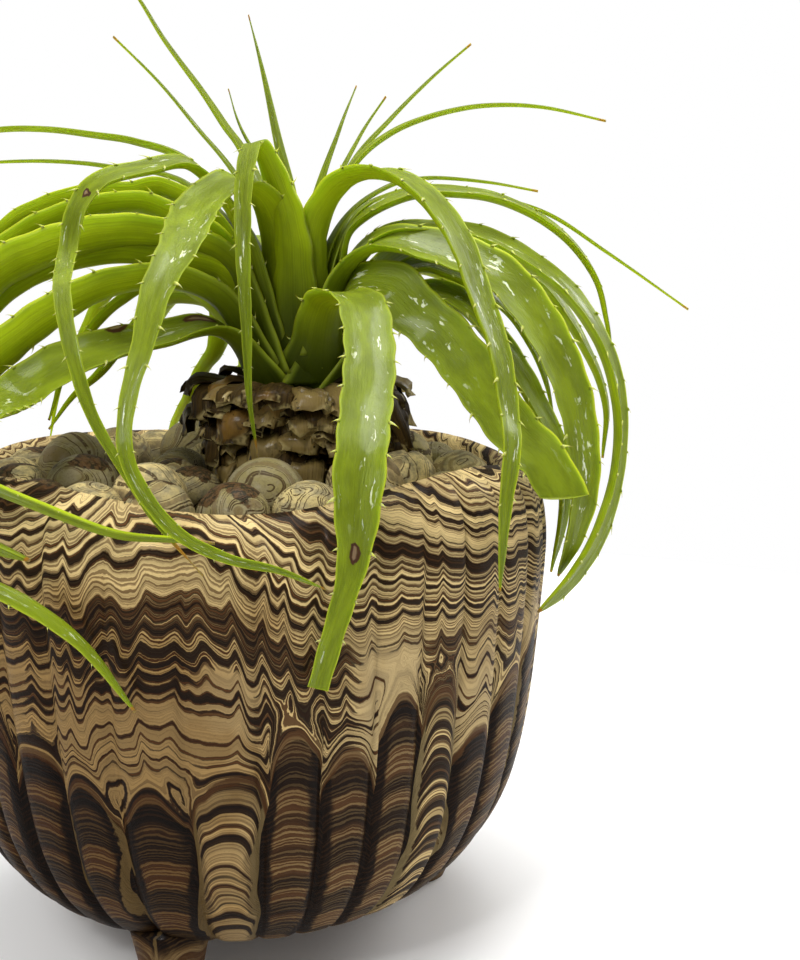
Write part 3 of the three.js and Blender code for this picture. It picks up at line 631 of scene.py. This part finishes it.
def green_leaf(look):
    """Living leaves: a glossy, mottled channel above with a painted sheen and painted glints, fine lines
    below, pale margins
    """
    finish = Finish("green_leaf", Subsurface_Weight=0.5, Subsurface_Radius=(0.8, 1.0, 0.03),
                    Subsurface_Scale=3 * MM, Coat_Roughness=0.12, Specular_IOR_Level=0.08)
    across, along, upper, spine, seed, reach, brown = (finish.attribute(mark) for mark in LEAF_MARKS)
    sheet = finish.point(across * 1.4, along * 70, seed * 40)
    lines = finish.cloud(1.0, 2.0, 0.5, finish.point(across * 24, along * 20, seed * 40))
    mottle = finish.cloud(1.0, 4.0, 0.62, sheet)
    wet_patch = finish.cloud(1.0, 2.0, 0.5, finish.point(across * 0.8, along * 26, seed * 25 + 7))
    flecks = finish.cloud(1.0, 3.0, 0.7, finish.point(across * 6, along * 420, seed * 11))
    glint = finish.cloud(1.0, 3.0, 0.62, finish.point(across * 4 + mottle * 4, along * 130, seed * 11))
    margin = abs(across).step(0.84, 0.98)

    # The channelled upper face, with a wet film painted lighter as a sheen, that breaks into painted streaks
    # of highlight
    top = finish.mix(mottle.step(0.34, 0.66), toned(look.upper_leaf, 0.78),
                     toned(look.upper_leaf, 1.18))
    wet_film_and_sheen = wet_patch.step(0.47, 0.60) * (1 - abs(across)).step(0.05, 0.6)
    top = finish.mix(wet_film_and_sheen * (0.08 + flecks * 0.45), top, (0.19, 0.245, 0.03))
    # Painted highlight: near-white glints in streaks on the wet film
    shine = glint.step(0.60, 0.64) * wet_film_and_sheen * flecks.step(0.34, 0.46)
    top = finish.mix(shine * 0.85, top, (0.78, 0.82, 0.60))

    # The ribbed under face, and the shade down in the crown
    deep = [c * f for c, f in zip(look.under_leaf, (0.50, 0.54, 0.5))]
    under = finish.mix(lines.step(0.34, 0.66), toned(look.under_leaf, 0.86),
                       toned(look.under_leaf, 1.10))
    under = finish.mix(mottle.step(0.40, 0.72) * 0.40, under, deep)
    body = finish.mix(upper, under, top)
    body = finish.mix(reach.step(0.22, 0.02) * 0.6, body, deep)
    body = finish.mix(reach.step(0.25, 0.04) * 0.85, body, (0.018, 0.026, 0.002))
    body = finish.mix(margin * 0.8, body, look.leaf_margin)

    # Dried tips and patches, and pale spines with brown points
    dead = brown + (mottle - 0.5) * 0.7
    scorch = finish.mix(reach.step(0.86, 0.92), (0.055, 0.022, 0.009), (0.34, 0.15, 0.022))
    body = finish.mix(dead.step(0.28, 0.46), body, scorch)
    body = finish.mix(dead.step(0.66, 0.86) * 0.8, body, (0.24, 0.165, 0.09))
    body = finish.mix(spine.step(0.05, 0.3), body, (0.50, 0.54, 0.16))
    body = finish.mix(spine.step(0.62, 0.85) * (seed * 13).sin().step(-0.4, 0.6), body, (0.16, 0.08, 0.03))
    finish.drive("Base Color", body)
    finish.drive("Roughness", 0.50 - upper * 0.10 + mottle * 0.10 - wet_film_and_sheen * upper * 0.14 + brown * 0.25)
    finish.drive("Coat Weight", 0.04 + upper * 0.22 * wet_film_and_sheen)
    finish.relief(lines * 0.25 + mottle * upper * 1.2 + glint * upper * wet_film_and_sheen * 1.6 + flecks * 0.2, 0.5 * MM)
    return finish.material


def curve_span(knots, gaps, shares):
    """Points between the middle two of four knots, on a smooth curve that doesn't overshoot"""
    p0, p1, p2, p3 = knots
    d0, d1, d2 = gaps
    m1 = ((p1 - p0) / d0 - (p2 - p0) / (d0 + d1) + (p2 - p1) / d1) * d1
    m2 = ((p2 - p1) / d1 - (p3 - p1) / (d1 + d2) + (p3 - p2) / d2) * d1
    points = []
    for u in shares:
        a, b = u * u, u * u * u
        points.append((2 * b - 3 * a + 1) * p1 + (b - 2 * a + u) * m1 + (3 * a - 2 * b) * p2 + (b - a) * m2)
    return points


class Sweep:
    """A smooth curve through points in millimetres, measured off by its length"""

    def __init__(self, points, bearing, rings, twist=0.0):
        knots = [np.array(p, float) for p in points]
        knots = [2 * knots[0] - knots[1]] + knots + [2 * knots[-1] - knots[-2]]
        run = []
        for span in zip(knots, knots[1:], knots[2:], knots[3:]):
            gaps = [math.sqrt(math.dist(a, b)) for a, b in zip(span, span[1:])]
            run += curve_span(span, gaps, np.linspace(0, 1, CURVE_STEPS, endpoint=False))
        run = np.array(run + [knots[-2]])
        reach = np.concatenate([[0], np.cumsum(np.linalg.norm(np.diff(run, axis=0), axis=1))])
        self.length = reach[-1]
        self.at = np.linspace(0, 1, rings)
        self.centre = np.stack([np.interp(self.at * self.length, reach, run[:, k]) for k in range(3)], 1)
        self.along = np.gradient(self.centre, axis=0)
        self.along /= np.linalg.norm(self.along, axis=1)[:, None]
        angle = math.radians(bearing)
        across = np.array([math.cos(angle), math.sin(angle), 0.0])
        self.across = np.zeros_like(self.centre)
        for i, tangent in enumerate(self.along):
            across = across - tangent * (across @ tangent)
            across /= np.linalg.norm(across)
            turn = math.radians(twist) * smoothstep(0, TWIST_SPAN, self.at[i])
            self.across[i] = across * math.cos(turn) + np.cross(tangent, across) * math.sin(turn)
        self.out = np.cross(self.along, self.across)

    def sample(self, at):
        """Place, direction, side and face of the curve at a share of its length"""
        k = at * (len(self.at) - 1)
        return tuple(np.array([np.interp(k, np.arange(len(self.at)), row[:, i]) for i in range(3)])
                     for row in (self.centre, self.along, self.across, self.out))


def leaf_width(form, at):
    """A leaf's width at a share of its length, as a share of its named width"""
    sheath = 1 + 0.2 * math.exp(-at / 0.12) + 0.7 * math.exp(-(at / 0.07) ** 2)
    if form == "thread":
        return (sheath + 1.1 * math.exp(-(at / 0.3) ** 2)) * (1 - at) ** 0.9
    if form == "cut":
        return sheath * (1 - 0.22 * at ** 2 - 0.42 * smoothstep(0.68, 0.88, at))
    if form == "broad":
        return sheath * (1 - 0.24 * at ** 2)
    if form == "tail":
        return sheath * (1 - 0.7 * smoothstep(0.35, 0.75, at)) * max(0.0, 1 - at ** 6) ** 0.7
    if form == "whip":
        return sheath * (1 - 0.45 * smoothstep(0.12, 0.42, at)) * max(0.0, 1 - at ** 1.8) ** 0.85
    if form == "late":
        return sheath * max(0.0, 1 - at ** 3) ** 0.8
    if form == "full":
        return sheath * max(0.0, 1 - at ** 5) ** 0.7
    if form == "slim":
        return sheath * (1 - 0.4 * smoothstep(0.5, 0.8, at)) * max(0.0, 1 - at ** 5) ** 0.7
    return sheath * max(0.0, 1 - at ** 1.5) ** 0.85


def tube(rings, sides):
    """An open-ended barrel of that many rings, closed by a face at each end"""
    mesh = bmesh.new()
    bmesh.ops.create_cone(mesh, cap_ends=True, segments=sides, radius1=1, radius2=1, depth=1)
    rails = [e for e in mesh.edges if abs(e.verts[0].co.z - e.verts[1].co.z) > 0.5]
    bmesh.ops.subdivide_edges(mesh, edges=rails, cuts=rings - 2)
    return mesh


def share_up(vert):
    """How far up its barrel a vertex is, from 0 to 1"""
    return min(1.0, max(0.0, vert.co.z + 0.5))


def blade_place(vert, rings):
    """A barrel's vertex as a blade's: share of the length, ring, and place across and over the face"""
    at = share_up(vert)
    turn = math.atan2(vert.co.y, vert.co.x)
    return at, int(round(at * (rings - 1))), math.cos(turn), math.sin(turn)


def add_spine(mesh, root, side, along, out, size, seed):
    """A slim, flattened hook that sweeps towards the leaf's tip"""
    hook = tube(5, 5)
    marks = add_marks(hook, LEAF_MARKS)
    for vert in hook.verts:
        rise = share_up(vert)
        slim = (1 - rise) ** 1.5 + 0.05
        lean = 0.85 * rise ** 1.8 + vert.co.x * 0.30 * slim
        place = root + side * (1.25 * rise ** 0.9 - 0.35) * size + along * lean * size
        place = place + out * (vert.co.y * 0.16 * slim + 0.15 * rise) * size
        vert.co = Vector(place) * MM
        vert[marks["spine"]] = 0.05 + 0.95 * rise
        vert[marks["across"]] = 1.0
        vert[marks["leaf_seed"]] = seed
    merge_into(mesh, hook)


def spine_places(order, count):
    """Each spine's number, its margin and its share of the leaf's length, in uneven pairs"""
    for i in range(count):
        for hand in (-1, 1):
            yield i, hand, 0.06 + 0.9 * (i + 0.35 + 0.3 * spread(order + i * 2 + hand)) / count


def dried_share(name, form, at, lateral, half, length):
    """How brown a leaf is at one place, from its dried tip and its dead patches"""
    if form in ("cut", "broad"):
        dried = 0.0
    elif form == "thread":
        dried = 0.6 * smoothstep(0.95, 1.0, at)
    else:
        dried = smoothstep(1 - BROWN_TIPS.get(name, 0.01), 1.0, at)
    for spot_at, spot_across, spot_long, spot_wide in BROWN_SPOTS.get(name, ()):
        lengthwise = (at - spot_at) * length / spot_long
        crosswise = (lateral - spot_across) * half / spot_wide
        dried = max(dried, 1 - smoothstep(0.4, 1.4, math.hypot(lengthwise, crosswise)))
    return dried


def build_leaf(name, sizes, material, order):
    """A channelled, rounded blade with waved margins and hooked spines along them"""
    bearing, width, form, twist, points = LEAVES[name]
    clasp = (6, points[0][1] - 5) if form == "thread" else (11, points[0][1] - 9)
    path = [on_bearing(p[2] if len(p) > 2 else bearing, p[0], p[1], STEM_X) for p in (clasp,) + points[1:]]
    rings = sizes.leaf_rings
    sweep = Sweep(path, bearing, rings, twist)
    spacing = sizes.tooth_spacing / MM
    seed = spread(order * 3.7)
    dish = 0.15 if form == "thread" else 0.32
    mesh = tube(rings, LEAF_SIDES)
    marks = add_marks(mesh, LEAF_MARKS)
    for vert in mesh.verts:
        at, ring, lateral, face = blade_place(vert, rings)
        half = max(0.2, 0.5 * width * leaf_width(form, at))
        thick = max(0.35, LEAF_THICKNESS * min(1.0, half / 5) ** 0.6)
        wave = 1.0
        if form != "thread":
            wave += 0.035 * math.cos(2 * math.pi * at * sweep.length / spacing) - 0.03
            wave += 0.035 * noise.noise(Vector((at * 9, order * 5.3, lateral)))
        depth = abs(lateral) ** (2.0 if face > 0 else 2.3)
        middle = thick * (0.35 if face > 0 else -0.65)
        level = middle + (dish * half - middle) * depth
        edge = (1 - abs(lateral)) ** 0.5 * 0.25 * (1 if face > 0 else -1)
        ripple = 0.5 * noise.noise(Vector((at * 14, lateral * 1.3, order * 2.1))) * min(1, half / 5)
        slant = 2.8 * lateral * smoothstep(0.86, 1, at) if form == "broad" else 0
        place = (sweep.centre[ring] + sweep.across[ring] * lateral * half * wave
                 + sweep.out[ring] * (level + edge + ripple * 0.5) + sweep.along[ring] * slant)
        vert.co = Vector(place) * MM
        shaded = 0.8 * smoothstep(0.45, 0.6, at) if name in SHADED else 0.0
        vert[marks["across"]] = lateral
        vert[marks["along"]] = at * sweep.length * MM
        vert[marks["upper"]] = max(smoothstep(-0.25, 0.1, face), shaded)
        vert[marks["leaf_seed"]] = seed
        vert[marks["reach"]] = at
        vert[marks["brown"]] = dried_share(name, form, at, lateral, half, sweep.length)
    count = 0 if form == "thread" else int(sweep.length * 0.9 / spacing)
    for i, hand, at in spine_places(order, count):
        half = max(0.45, 0.5 * width * leaf_width(form, at))
        size = SPINE_LENGTH * min(1.0, half / 3.5) * (0.6 + 0.65 * spread(order * 7 + i + hand))
        centre, along, across, out = sweep.sample(at)
        if math.hypot(centre[0] - STEM_X, centre[1]) >= CROWN_RADIUS:
            root = centre + across * hand * half * 0.98 + out * dish * half
            add_spine(mesh, root, across * hand, along, out, size, seed)
    bmesh.ops.recalc_face_normals(mesh, faces=mesh.faces)
    return finish_piece(mesh, name + "_blade", "root", [name], material)


def build_dry_blade(mesh, bearing, width, path, seed, ragged, ends):
    """A folded, crumpled old leaf base, broken off or worn to a point at its end"""
    made = tube(SCALE_RINGS, SCALE_SIDES)
    points = [on_bearing(bearing, reach, height, STEM_X) for reach, height in path]
    sweep = Sweep(points, bearing, SCALE_RINGS)
    marks = add_marks(made, SCALE_MARKS)
    for vert in made.verts:
        at, ring, lateral, face = blade_place(vert, SCALE_RINGS)
        half = 0.5 * width * np.interp(at, SCALE_STATIONS, ends)
        torn = ragged * (noise.noise(Vector((lateral * 2.2, seed * 13, 3.1))) * smoothstep(0.4, 1, at)
                         + 0.35 * noise.noise(Vector((lateral * 7, seed * 29, 1.7))) * smoothstep(0.8, 1, at))
        fold = noise.noise(Vector((lateral * 1.7, at * 2.6, seed * 31)))
        crumple = noise.noise(Vector((lateral * 4.2, at * 6, seed * 57)))
        curl = -0.3 * half * lateral ** 2 + (2.4 * fold + 1.6 * crumple) * at ** 0.8
        ruffle = math.cos(lateral * 5.5 + seed * 40) + 0.4 * math.cos(lateral * 13 + seed * 90)
        curl += ruffle * at ** 2
        level = curl + face * (0.6 - 0.45 * at)
        place = (sweep.centre[ring] + sweep.across[ring] * lateral * half * (1 + 0.14 * fold)
                 + sweep.out[ring] * level + sweep.along[ring] * torn)
        vert.co = Vector(place) * MM
        vert[marks["across"]] = lateral
        vert[marks["along"]] = at * sweep.length * MM
        vert[marks["leaf_seed"]] = seed
        # The under face keeps a shorter reach, so that it takes more of the painted shade
        vert[marks["reach"]] = at if face > -0.3 else 0.45 * at
    merge_into(mesh, made)


def build_stem(material):
    """The short trunk in its coat of dried leaf bases"""
    mesh = bmesh.new()
    marks = add_marks(mesh, SCALE_MARKS)
    turn_section(mesh, TRUNK_SECTION, 48, STEM_X)
    for vert in mesh.verts:
        # The bare trunk, under its scales, takes the near-black painted shade
        vert[marks["reach"]] = 0.2
        vert[marks["across"]] = 0.3 * math.sin(math.atan2(vert.co.y, vert.co.x - STEM_X * MM) * 9)
        vert[marks["along"]] = vert.co.z
    for tier, (height, count, reach, width) in enumerate(DRY_TIERS):
        for i in range(count):
            odd = spread(tier * 20 + i)
            bearing = 360 * (i + 0.5 * (tier % 2)) / count + 14 * (odd - 0.5)
            far = reach + 5 * (spread(tier * 20 + i + 7) - 0.5)
            tip = height - 3 - 4 * odd
            path = ((11, height - 1), (0.7 * far, height + 4), (far - 1, height + 2), (far, tip))
            build_dry_blade(mesh, bearing, width * (0.7 + 0.3 * odd), path, odd, 3, (1, 1.0, 1.06, 0.9))
    for row in range(SCALE_ROWS):
        share = row / (SCALE_ROWS - 1)
        count = 13 + row % 2
        for i in range(count):
            odd, twin = spread(row * 31 + i * 3 + 2), spread(row * 17 + i * 5 + 11)
            bearing = 360 * (i + 0.5 * (row % 2)) / count + 40 * (odd - 0.5)
            far = 20 + 11 * share ** 0.8 + 7 * (twin - 0.5)
            top = 133 + 32 * share + 5 * (odd - 0.5)
            tip = top - 1.8 - 2.6 * odd
            path = ((12, top - 1), (0.8 * far, top + 1.5), (far, top + 0.3), (far + 1.6, tip))
            build_dry_blade(mesh, bearing, 6 + 8 * twin, path, odd, 3, (1, 1.06, 1.08, 0.9))
    for i, (bearing, width, path) in enumerate(DRY_LEAVES):
        build_dry_blade(mesh, bearing, width, path, spread(i + 3), 2, (1, 1.06, 0.92, 0.16))
    bmesh.ops.recalc_face_normals(mesh, faces=mesh.faces)
    return finish_piece(mesh, "trunk_scales", "root", ["stem"], material)


def turn_section(mesh, section, steps, centre_x=0.0, close=False):
    """Spins an outline about an upright axis"""
    verts = [mesh.verts.new((centre_x * MM + r * MM, 0, z * MM)) for r, z in section]
    edges = [mesh.edges.new(pair) for pair in zip(verts, verts[1:])]
    if close:
        edges.append(mesh.edges.new((verts[-1], verts[0])))
    bmesh.ops.spin(mesh, geom=verts + edges, cent=(centre_x * MM, 0, 0), axis=(0, 0, 1), angle=2 * math.pi,
                   steps=steps, use_merge=True)
    bmesh.ops.remove_doubles(mesh, verts=mesh.verts, dist=1e-6)


def rim_lift(angle):
    """How far the rim waves up or down, by its bearing in radians"""
    return 0.8 - 3.5 * math.cos(4 * angle) * (0.6 + 0.4 * math.cos(angle))


def fine_section():
    """The bowl's outline in small steps, rounded between the rows of its section"""
    rows = [np.array(row, float) for row in POT_SECTION]
    closed = rows[-1:] + rows + rows[:2]
    flat = (0, len(rows) - 2, len(rows) - 1)
    fine = []
    for i in range(len(rows)):
        span = closed[i:i + 4]
        start, end = span[1:3]
        gaps = [math.sqrt(max(1e-3, math.dist(a[:2], b[:2]))) for a, b in zip(span, span[1:])]
        shares = np.linspace(0, 1, max(2, int(math.dist(start[:2], end[:2]) / 3.0)), endpoint=False)
        fine += [start + (end - start) * u for u in shares] if i in flat else curve_span(span, gaps, shares)
    return fine


def add_foot(mesh, number, bearing):
    """A stubby foot, rounded at its sole and wider where it meets the bowl"""
    foot = tube(10, 40)
    centre = on_bearing(bearing, FOOT_CIRCLE, 0)
    for vert in foot.verts:
        at = share_up(vert)
        turn = math.atan2(vert.co.y, vert.co.x)
        radius = 7 + 4.5 * at ** 1.2 + 0.35 * math.sin(turn * 3 + number) * (1 - at)
        radius -= 0.9 * max(0.0, 1 - at * 9) ** 2
        place = (centre.x + radius * math.cos(turn), centre.y + radius * math.sin(turn), FOOT_HEIGHT * at)
        vert.co = Vector(place) * MM
    merge_into(mesh, foot)


def build_pot(material):
    """The hand-built bowl with its flutes and waved, rounded rim, on three feet"""
    mesh = bmesh.new()
    section = fine_section()
    turn_section(mesh, [(r, z) for r, z, _ in section], FLUTES * FLUTE_STEPS, close=True)
    radii, heights, depths = np.array(section).T
    for vert in mesh.verts:
        radius = math.hypot(vert.co.x, vert.co.y) / MM
        height = vert.co.z / MM
        nearest = int(np.argmin((radii - radius) ** 2 + (heights - height) ** 2))
        angle = math.atan2(vert.co.x, -vert.co.y)
        flute = (angle - FLUTE_DRIFT * math.sin(5 * angle + 1)) * FLUTES / (2 * math.pi)
        cell = math.floor(flute)
        place = abs(flute - cell - 0.5) * 2
        luck = 0.75 + 0.5 * spread(cell % FLUTES)
        groove = depths[nearest] * (place ** 5 * 1.15 - 0.25 * luck * (1 - place ** 2))
        wobble = 0.8 * noise.noise(vert.co * 22) if radius > 60 else 0
        scale = (radius - groove + wobble) / radius
        vert.co.x *= scale
        vert.co.y *= scale
        vert.co.z += rim_lift(angle) * smoothstep(60, RIM_HEIGHT, height) * MM
    for number, bearing in enumerate(FOOT_BEARINGS):
        add_foot(mesh, number, bearing)
    bmesh.ops.recalc_face_normals(mesh, faces=mesh.faces)
    return finish_piece(mesh, "bowl", "root", ["pot"], material)


def soil_height(reach):
    """The height of the potting mix, flat in the middle and sloping to the wall"""
    return SOIL_CROWN + (SOIL_EDGE - SOIL_CROWN) * min(1.0, max(0.0, (reach - 40) / 35.5))


def settle(stones):
    """Eases the stones apart until none crowds another, the trunk or the wall"""
    for _ in range(SETTLING_ROUNDS):
        for i, a in enumerate(stones):
            for j, b in enumerate(stones):
                if i == j:
                    continue
                gap = math.hypot(a["x"] - b["x"], a["y"] - b["y"])
                joined = a["leans_on"] == j or b["leans_on"] == i
                wanted = (a["size"] + b["size"]) * (0.88 if joined else 1.01)
                if joined or gap < wanted:
                    push = 0.2 * (wanted - gap) / (gap + 1e-6)
                    a["x"] += (a["x"] - b["x"]) * push
                    a["y"] += (a["y"] - b["y"]) * push
            from_stem = math.hypot(a["x"] - STEM_X, a["y"])
            clear = STEM_RADIUS + a["size"] + 1.5
            if from_stem < clear:
                a["x"] = STEM_X + (a["x"] - STEM_X) * clear / from_stem
                a["y"] *= clear / from_stem
            from_axis = math.hypot(a["x"], a["y"])
            wall = SOIL_RADIUS - a["size"]
            if from_axis > wall:
                a["x"] *= wall / from_axis
                a["y"] *= wall / from_axis


def lay_stones():
    """Stones in little groups, three to a sector and five in a row beside the trunk"""
    stones = []

    def lay(bearing, reach, size, group, leans_on):
        spot = on_bearing(bearing, reach, 0)
        stones.append({"x": spot.x, "y": spot.y, "size": size, "group": group, "leans_on": leans_on})
        return len(stones) - 1

    for i in range(STONE_SECTORS):
        turn = 360 * (i + 0.3 * spread(i + 40)) / STONE_SECTORS
        inner = lay(turn, INNER_RING, 9.4 + 2.4 * spread(i + 300), i, -1)
        lay(turn - 8, OUTER_RING, 8.2 + 1.8 * spread(i + 330), i, inner)
        lay(turn + 8, OUTER_RING, 8.2 + 1.8 * spread(i + 360), i, inner)
    last = -1
    for bearing, reach in LEFT_STONES:
        last = lay(bearing, reach, 7 + 1.5 * spread(reach), STONE_SECTORS, last)
    settle(stones)
    return stones


def add_stone(mesh, layers, centre, radii, turn, seed):
    """A hand-rolled stone: round, with slight flats and dents"""
    made = bmesh.ops.create_icosphere(mesh, subdivisions=STONE_SUBDIVISIONS, radius=1)
    spin = Matrix.Rotation(turn, 3, "Z")
    for vert in made["verts"]:
        unit = vert.co.normalized()
        vert[layers["place"]] = unit
        dent = 1 + 0.035 * noise.noise(unit * 1.4 + Vector((seed * 9, 0, 0))) + 0.008 * noise.noise(unit * 5)
        vert.co = (spin @ Vector(a * b for a, b in zip(unit * dent, radii)) + centre) * MM
        vert[layers["seed"]] = seed


def build_pebbles(material):
    """Marbled stones in their groups, on the potting mix"""
    stones = lay_stones()
    for group in range(STONE_SECTORS + 1):
        mesh = bmesh.new()
        layers = {"seed": mesh.verts.layers.float.new("stone_seed"),
                  "place": mesh.verts.layers.float_vector.new("stone_place")}
        for seed, stone in enumerate(stones):
            if stone["group"] != group:
                continue
            size = stone["size"]
            radii = (size * (0.99 + 0.03 * spread(seed + 11)), size * (0.98 + 0.03 * spread(seed + 23)),
                     size * (0.86 + 0.12 * spread(seed + 37)))
            ground = soil_height(math.hypot(stone["x"], stone["y"]))
            centre = Vector((stone["x"], stone["y"], ground + 0.5 + 1.02 * radii[2]))
            add_stone(mesh, layers, centre, radii, 2 * math.pi * spread(seed + 51), spread(seed + 77))
        node = "pebbles_%02d" % (group + 1)
        finish_piece(mesh, node + "_stones", "root", [node], material)


def build_soil(material):
    """The potting mix, with a rough and crumbly top"""
    mesh = bmesh.new()
    section = [(0, 24.6), (7, 24.7), (59.4, 38.6), (72.3, 66.4), (74.9, 110), (SOIL_RADIUS, SOIL_EDGE)]
    section += [(r, soil_height(r)) for r in np.linspace(73, 1.5, 36)] + [(0, SOIL_CROWN)]
    turn_section(mesh, section, 160)
    for vert in mesh.verts:
        if vert.co.z > (SOIL_EDGE - 0.5) * MM and math.hypot(vert.co.x, vert.co.y) < 74.5 * MM:
            vert.co.z += (noise.noise(vert.co * 90) * 0.9 + noise.noise(vert.co * 330) * 0.5 - 0.5) * MM
    bmesh.ops.recalc_face_normals(mesh, faces=mesh.faces)
    return finish_piece(mesh, "potting_mix_bed", "root", ["soil"], material)


class PLANT_OT_pot(bpy.types.Operator):
    """Build the marbled bowl on its three feet"""
    bl_idname = "plant.pot"
    bl_label = "Bowl"

    def execute(self, context):
        build_pot(marbled_clay(context.scene.plant_colours, context.scene.plant_sizes))
        return {"FINISHED"}


class PLANT_OT_soil(bpy.types.Operator):
    """Fill the bowl with potting mix"""
    bl_idname = "plant.soil"
    bl_label = "Potting mix"

    def execute(self, context):
        build_soil(potting_mix())
        return {"FINISHED"}


class PLANT_OT_pebbles(bpy.types.Operator):
    """Lay the clay pebbles"""
    bl_idname = "plant.pebbles"
    bl_label = "Pebbles"

    def execute(self, context):
        build_pebbles(pebble_clay(context.scene.plant_colours, context.scene.plant_sizes))
        return {"FINISHED"}


class PLANT_OT_stem(bpy.types.Operator):
    """Build the trunk and its dried leaf bases"""
    bl_idname = "plant.stem"
    bl_label = "Trunk"

    def execute(self, context):
        build_stem(dried_leaf(context.scene.plant_colours))
        return {"FINISHED"}


class PLANT_OT_leaves(bpy.types.Operator):
    """Grow the spiny leaves"""
    bl_idname = "plant.leaves"
    bl_label = "Leaves"

    def execute(self, context):
        material = green_leaf(context.scene.plant_colours)
        for order, name in enumerate(LEAVES):
            build_leaf(name, context.scene.plant_sizes, material, order)
        return {"FINISHED"}


def lay_floor():
    """A round, pale floor"""
    paint = Finish("pale_floor", Base_Color=(0.95, 0.945, 0.935, 1), Roughness=0.8)
    mesh = bmesh.new()
    bmesh.ops.create_circle(mesh, cap_ends=True, segments=96, radius=FLOOR_RADIUS)
    ground = new_object(mesh, "floor", paint.material)


def light_sky(scene):
    """A white backdrop, which lights the plant with only a part of its brightness"""
    world = bpy.data.worlds.new("studio")
    world.use_nodes = True
    backdrop = world.node_tree.nodes["Background"]
    backdrop.inputs[0].default_value = (1.0, 1.0, 1.0, 1)
    path = world.node_tree.nodes.new("ShaderNodeLightPath")
    strength = world.node_tree.nodes.new("ShaderNodeMapRange")
    strength.inputs["To Min"].default_value = SKY_LIGHT
    world.node_tree.links.new(path.outputs["Is Camera Ray"], strength.inputs["Value"])
    world.node_tree.links.new(strength.outputs[0], backdrop.inputs[1])
    scene.view_settings.view_transform = "Standard"
    scene.world = world


def add_lamp(name, place, target, power, size):
    """A soft square lamp aimed at a point"""
    data = bpy.data.lights.new(name, "AREA")
    data.energy = power
    data.size = size
    lamp = bpy.data.objects.new(name, data)
    lamp.location = place
    lamp.rotation_euler = (Vector(place) - Vector(target)).to_track_quat("Z", "Y").to_euler()
    bpy.context.scene.collection.objects.link(lamp)


def aim_camera(scene):
    """The camera, a little above the rim, looking down and to the right"""
    lens = bpy.data.cameras.new("camera")
    lens.sensor_fit = "VERTICAL"
    lens.sensor_height = SENSOR_HEIGHT
    lens.lens = SENSOR_HEIGHT * FOCAL_LENGTH / FRAME_HEIGHT
    lens.clip_start = 0.01
    camera = bpy.data.objects.new("camera", lens)
    camera.location = CAMERA_PLACE
    camera.rotation_euler = (math.radians(90 - CAMERA_PITCH), 0, math.radians(-CAMERA_YAW))
    scene.collection.objects.link(camera)
    scene.camera = camera


class PLANT_OT_stage(bpy.types.Operator):
    """Set the floor, the lights and the camera"""
    bl_idname = "plant.stage"
    bl_label = "Studio"

    def execute(self, context):
        lay_floor()
        light_sky(context.scene)
        for lamp in LAMPS:
            add_lamp(*lamp)
        aim_camera(context.scene)
        return {"FINISHED"}


class PLANT_PT_panel(bpy.types.Panel):
    """Sizes, colours and pieces of the plant"""
    bl_idname = "PLANT_PT_panel"
    bl_label = "Potted rosette"
    bl_space_type = "VIEW_3D"
    bl_region_type = "UI"
    bl_category = "Plant"

    def draw(self, context):
        layout = self.layout
        for group in (context.scene.plant_sizes, context.scene.plant_colours):
            for key in group.bl_rna.properties.keys():
                if key not in ("rna_type", "name"):
                    layout.prop(group, key)
        for operator in STEPS:
            layout.operator(operator)


STEPS = ("plant.stage", "plant.pot", "plant.soil", "plant.pebbles", "plant.stem", "plant.leaves")
CLASSES = (PlantSizes, PlantColours, PLANT_OT_pot, PLANT_OT_soil, PLANT_OT_pebbles, PLANT_OT_stem,
           PLANT_OT_leaves, PLANT_OT_stage, PLANT_PT_panel)


def register():
    for item in CLASSES:
        bpy.utils.register_class(item)
    bpy.types.Scene.plant_sizes = PointerProperty(type=PlantSizes)
    bpy.types.Scene.plant_colours = PointerProperty(type=PlantColours)


def unregister():
    del bpy.types.Scene.plant_colours
    del bpy.types.Scene.plant_sizes
    for item in reversed(CLASSES):
        bpy.utils.unregister_class(item)


def main():
    register()
    bpy.ops.plant.stage()
    bpy.ops.plant.pot()
    bpy.ops.plant.soil()
    bpy.ops.plant.pebbles()
    bpy.ops.plant.stem()
    bpy.ops.plant.leaves()


if __name__ == "__main__":
    main()
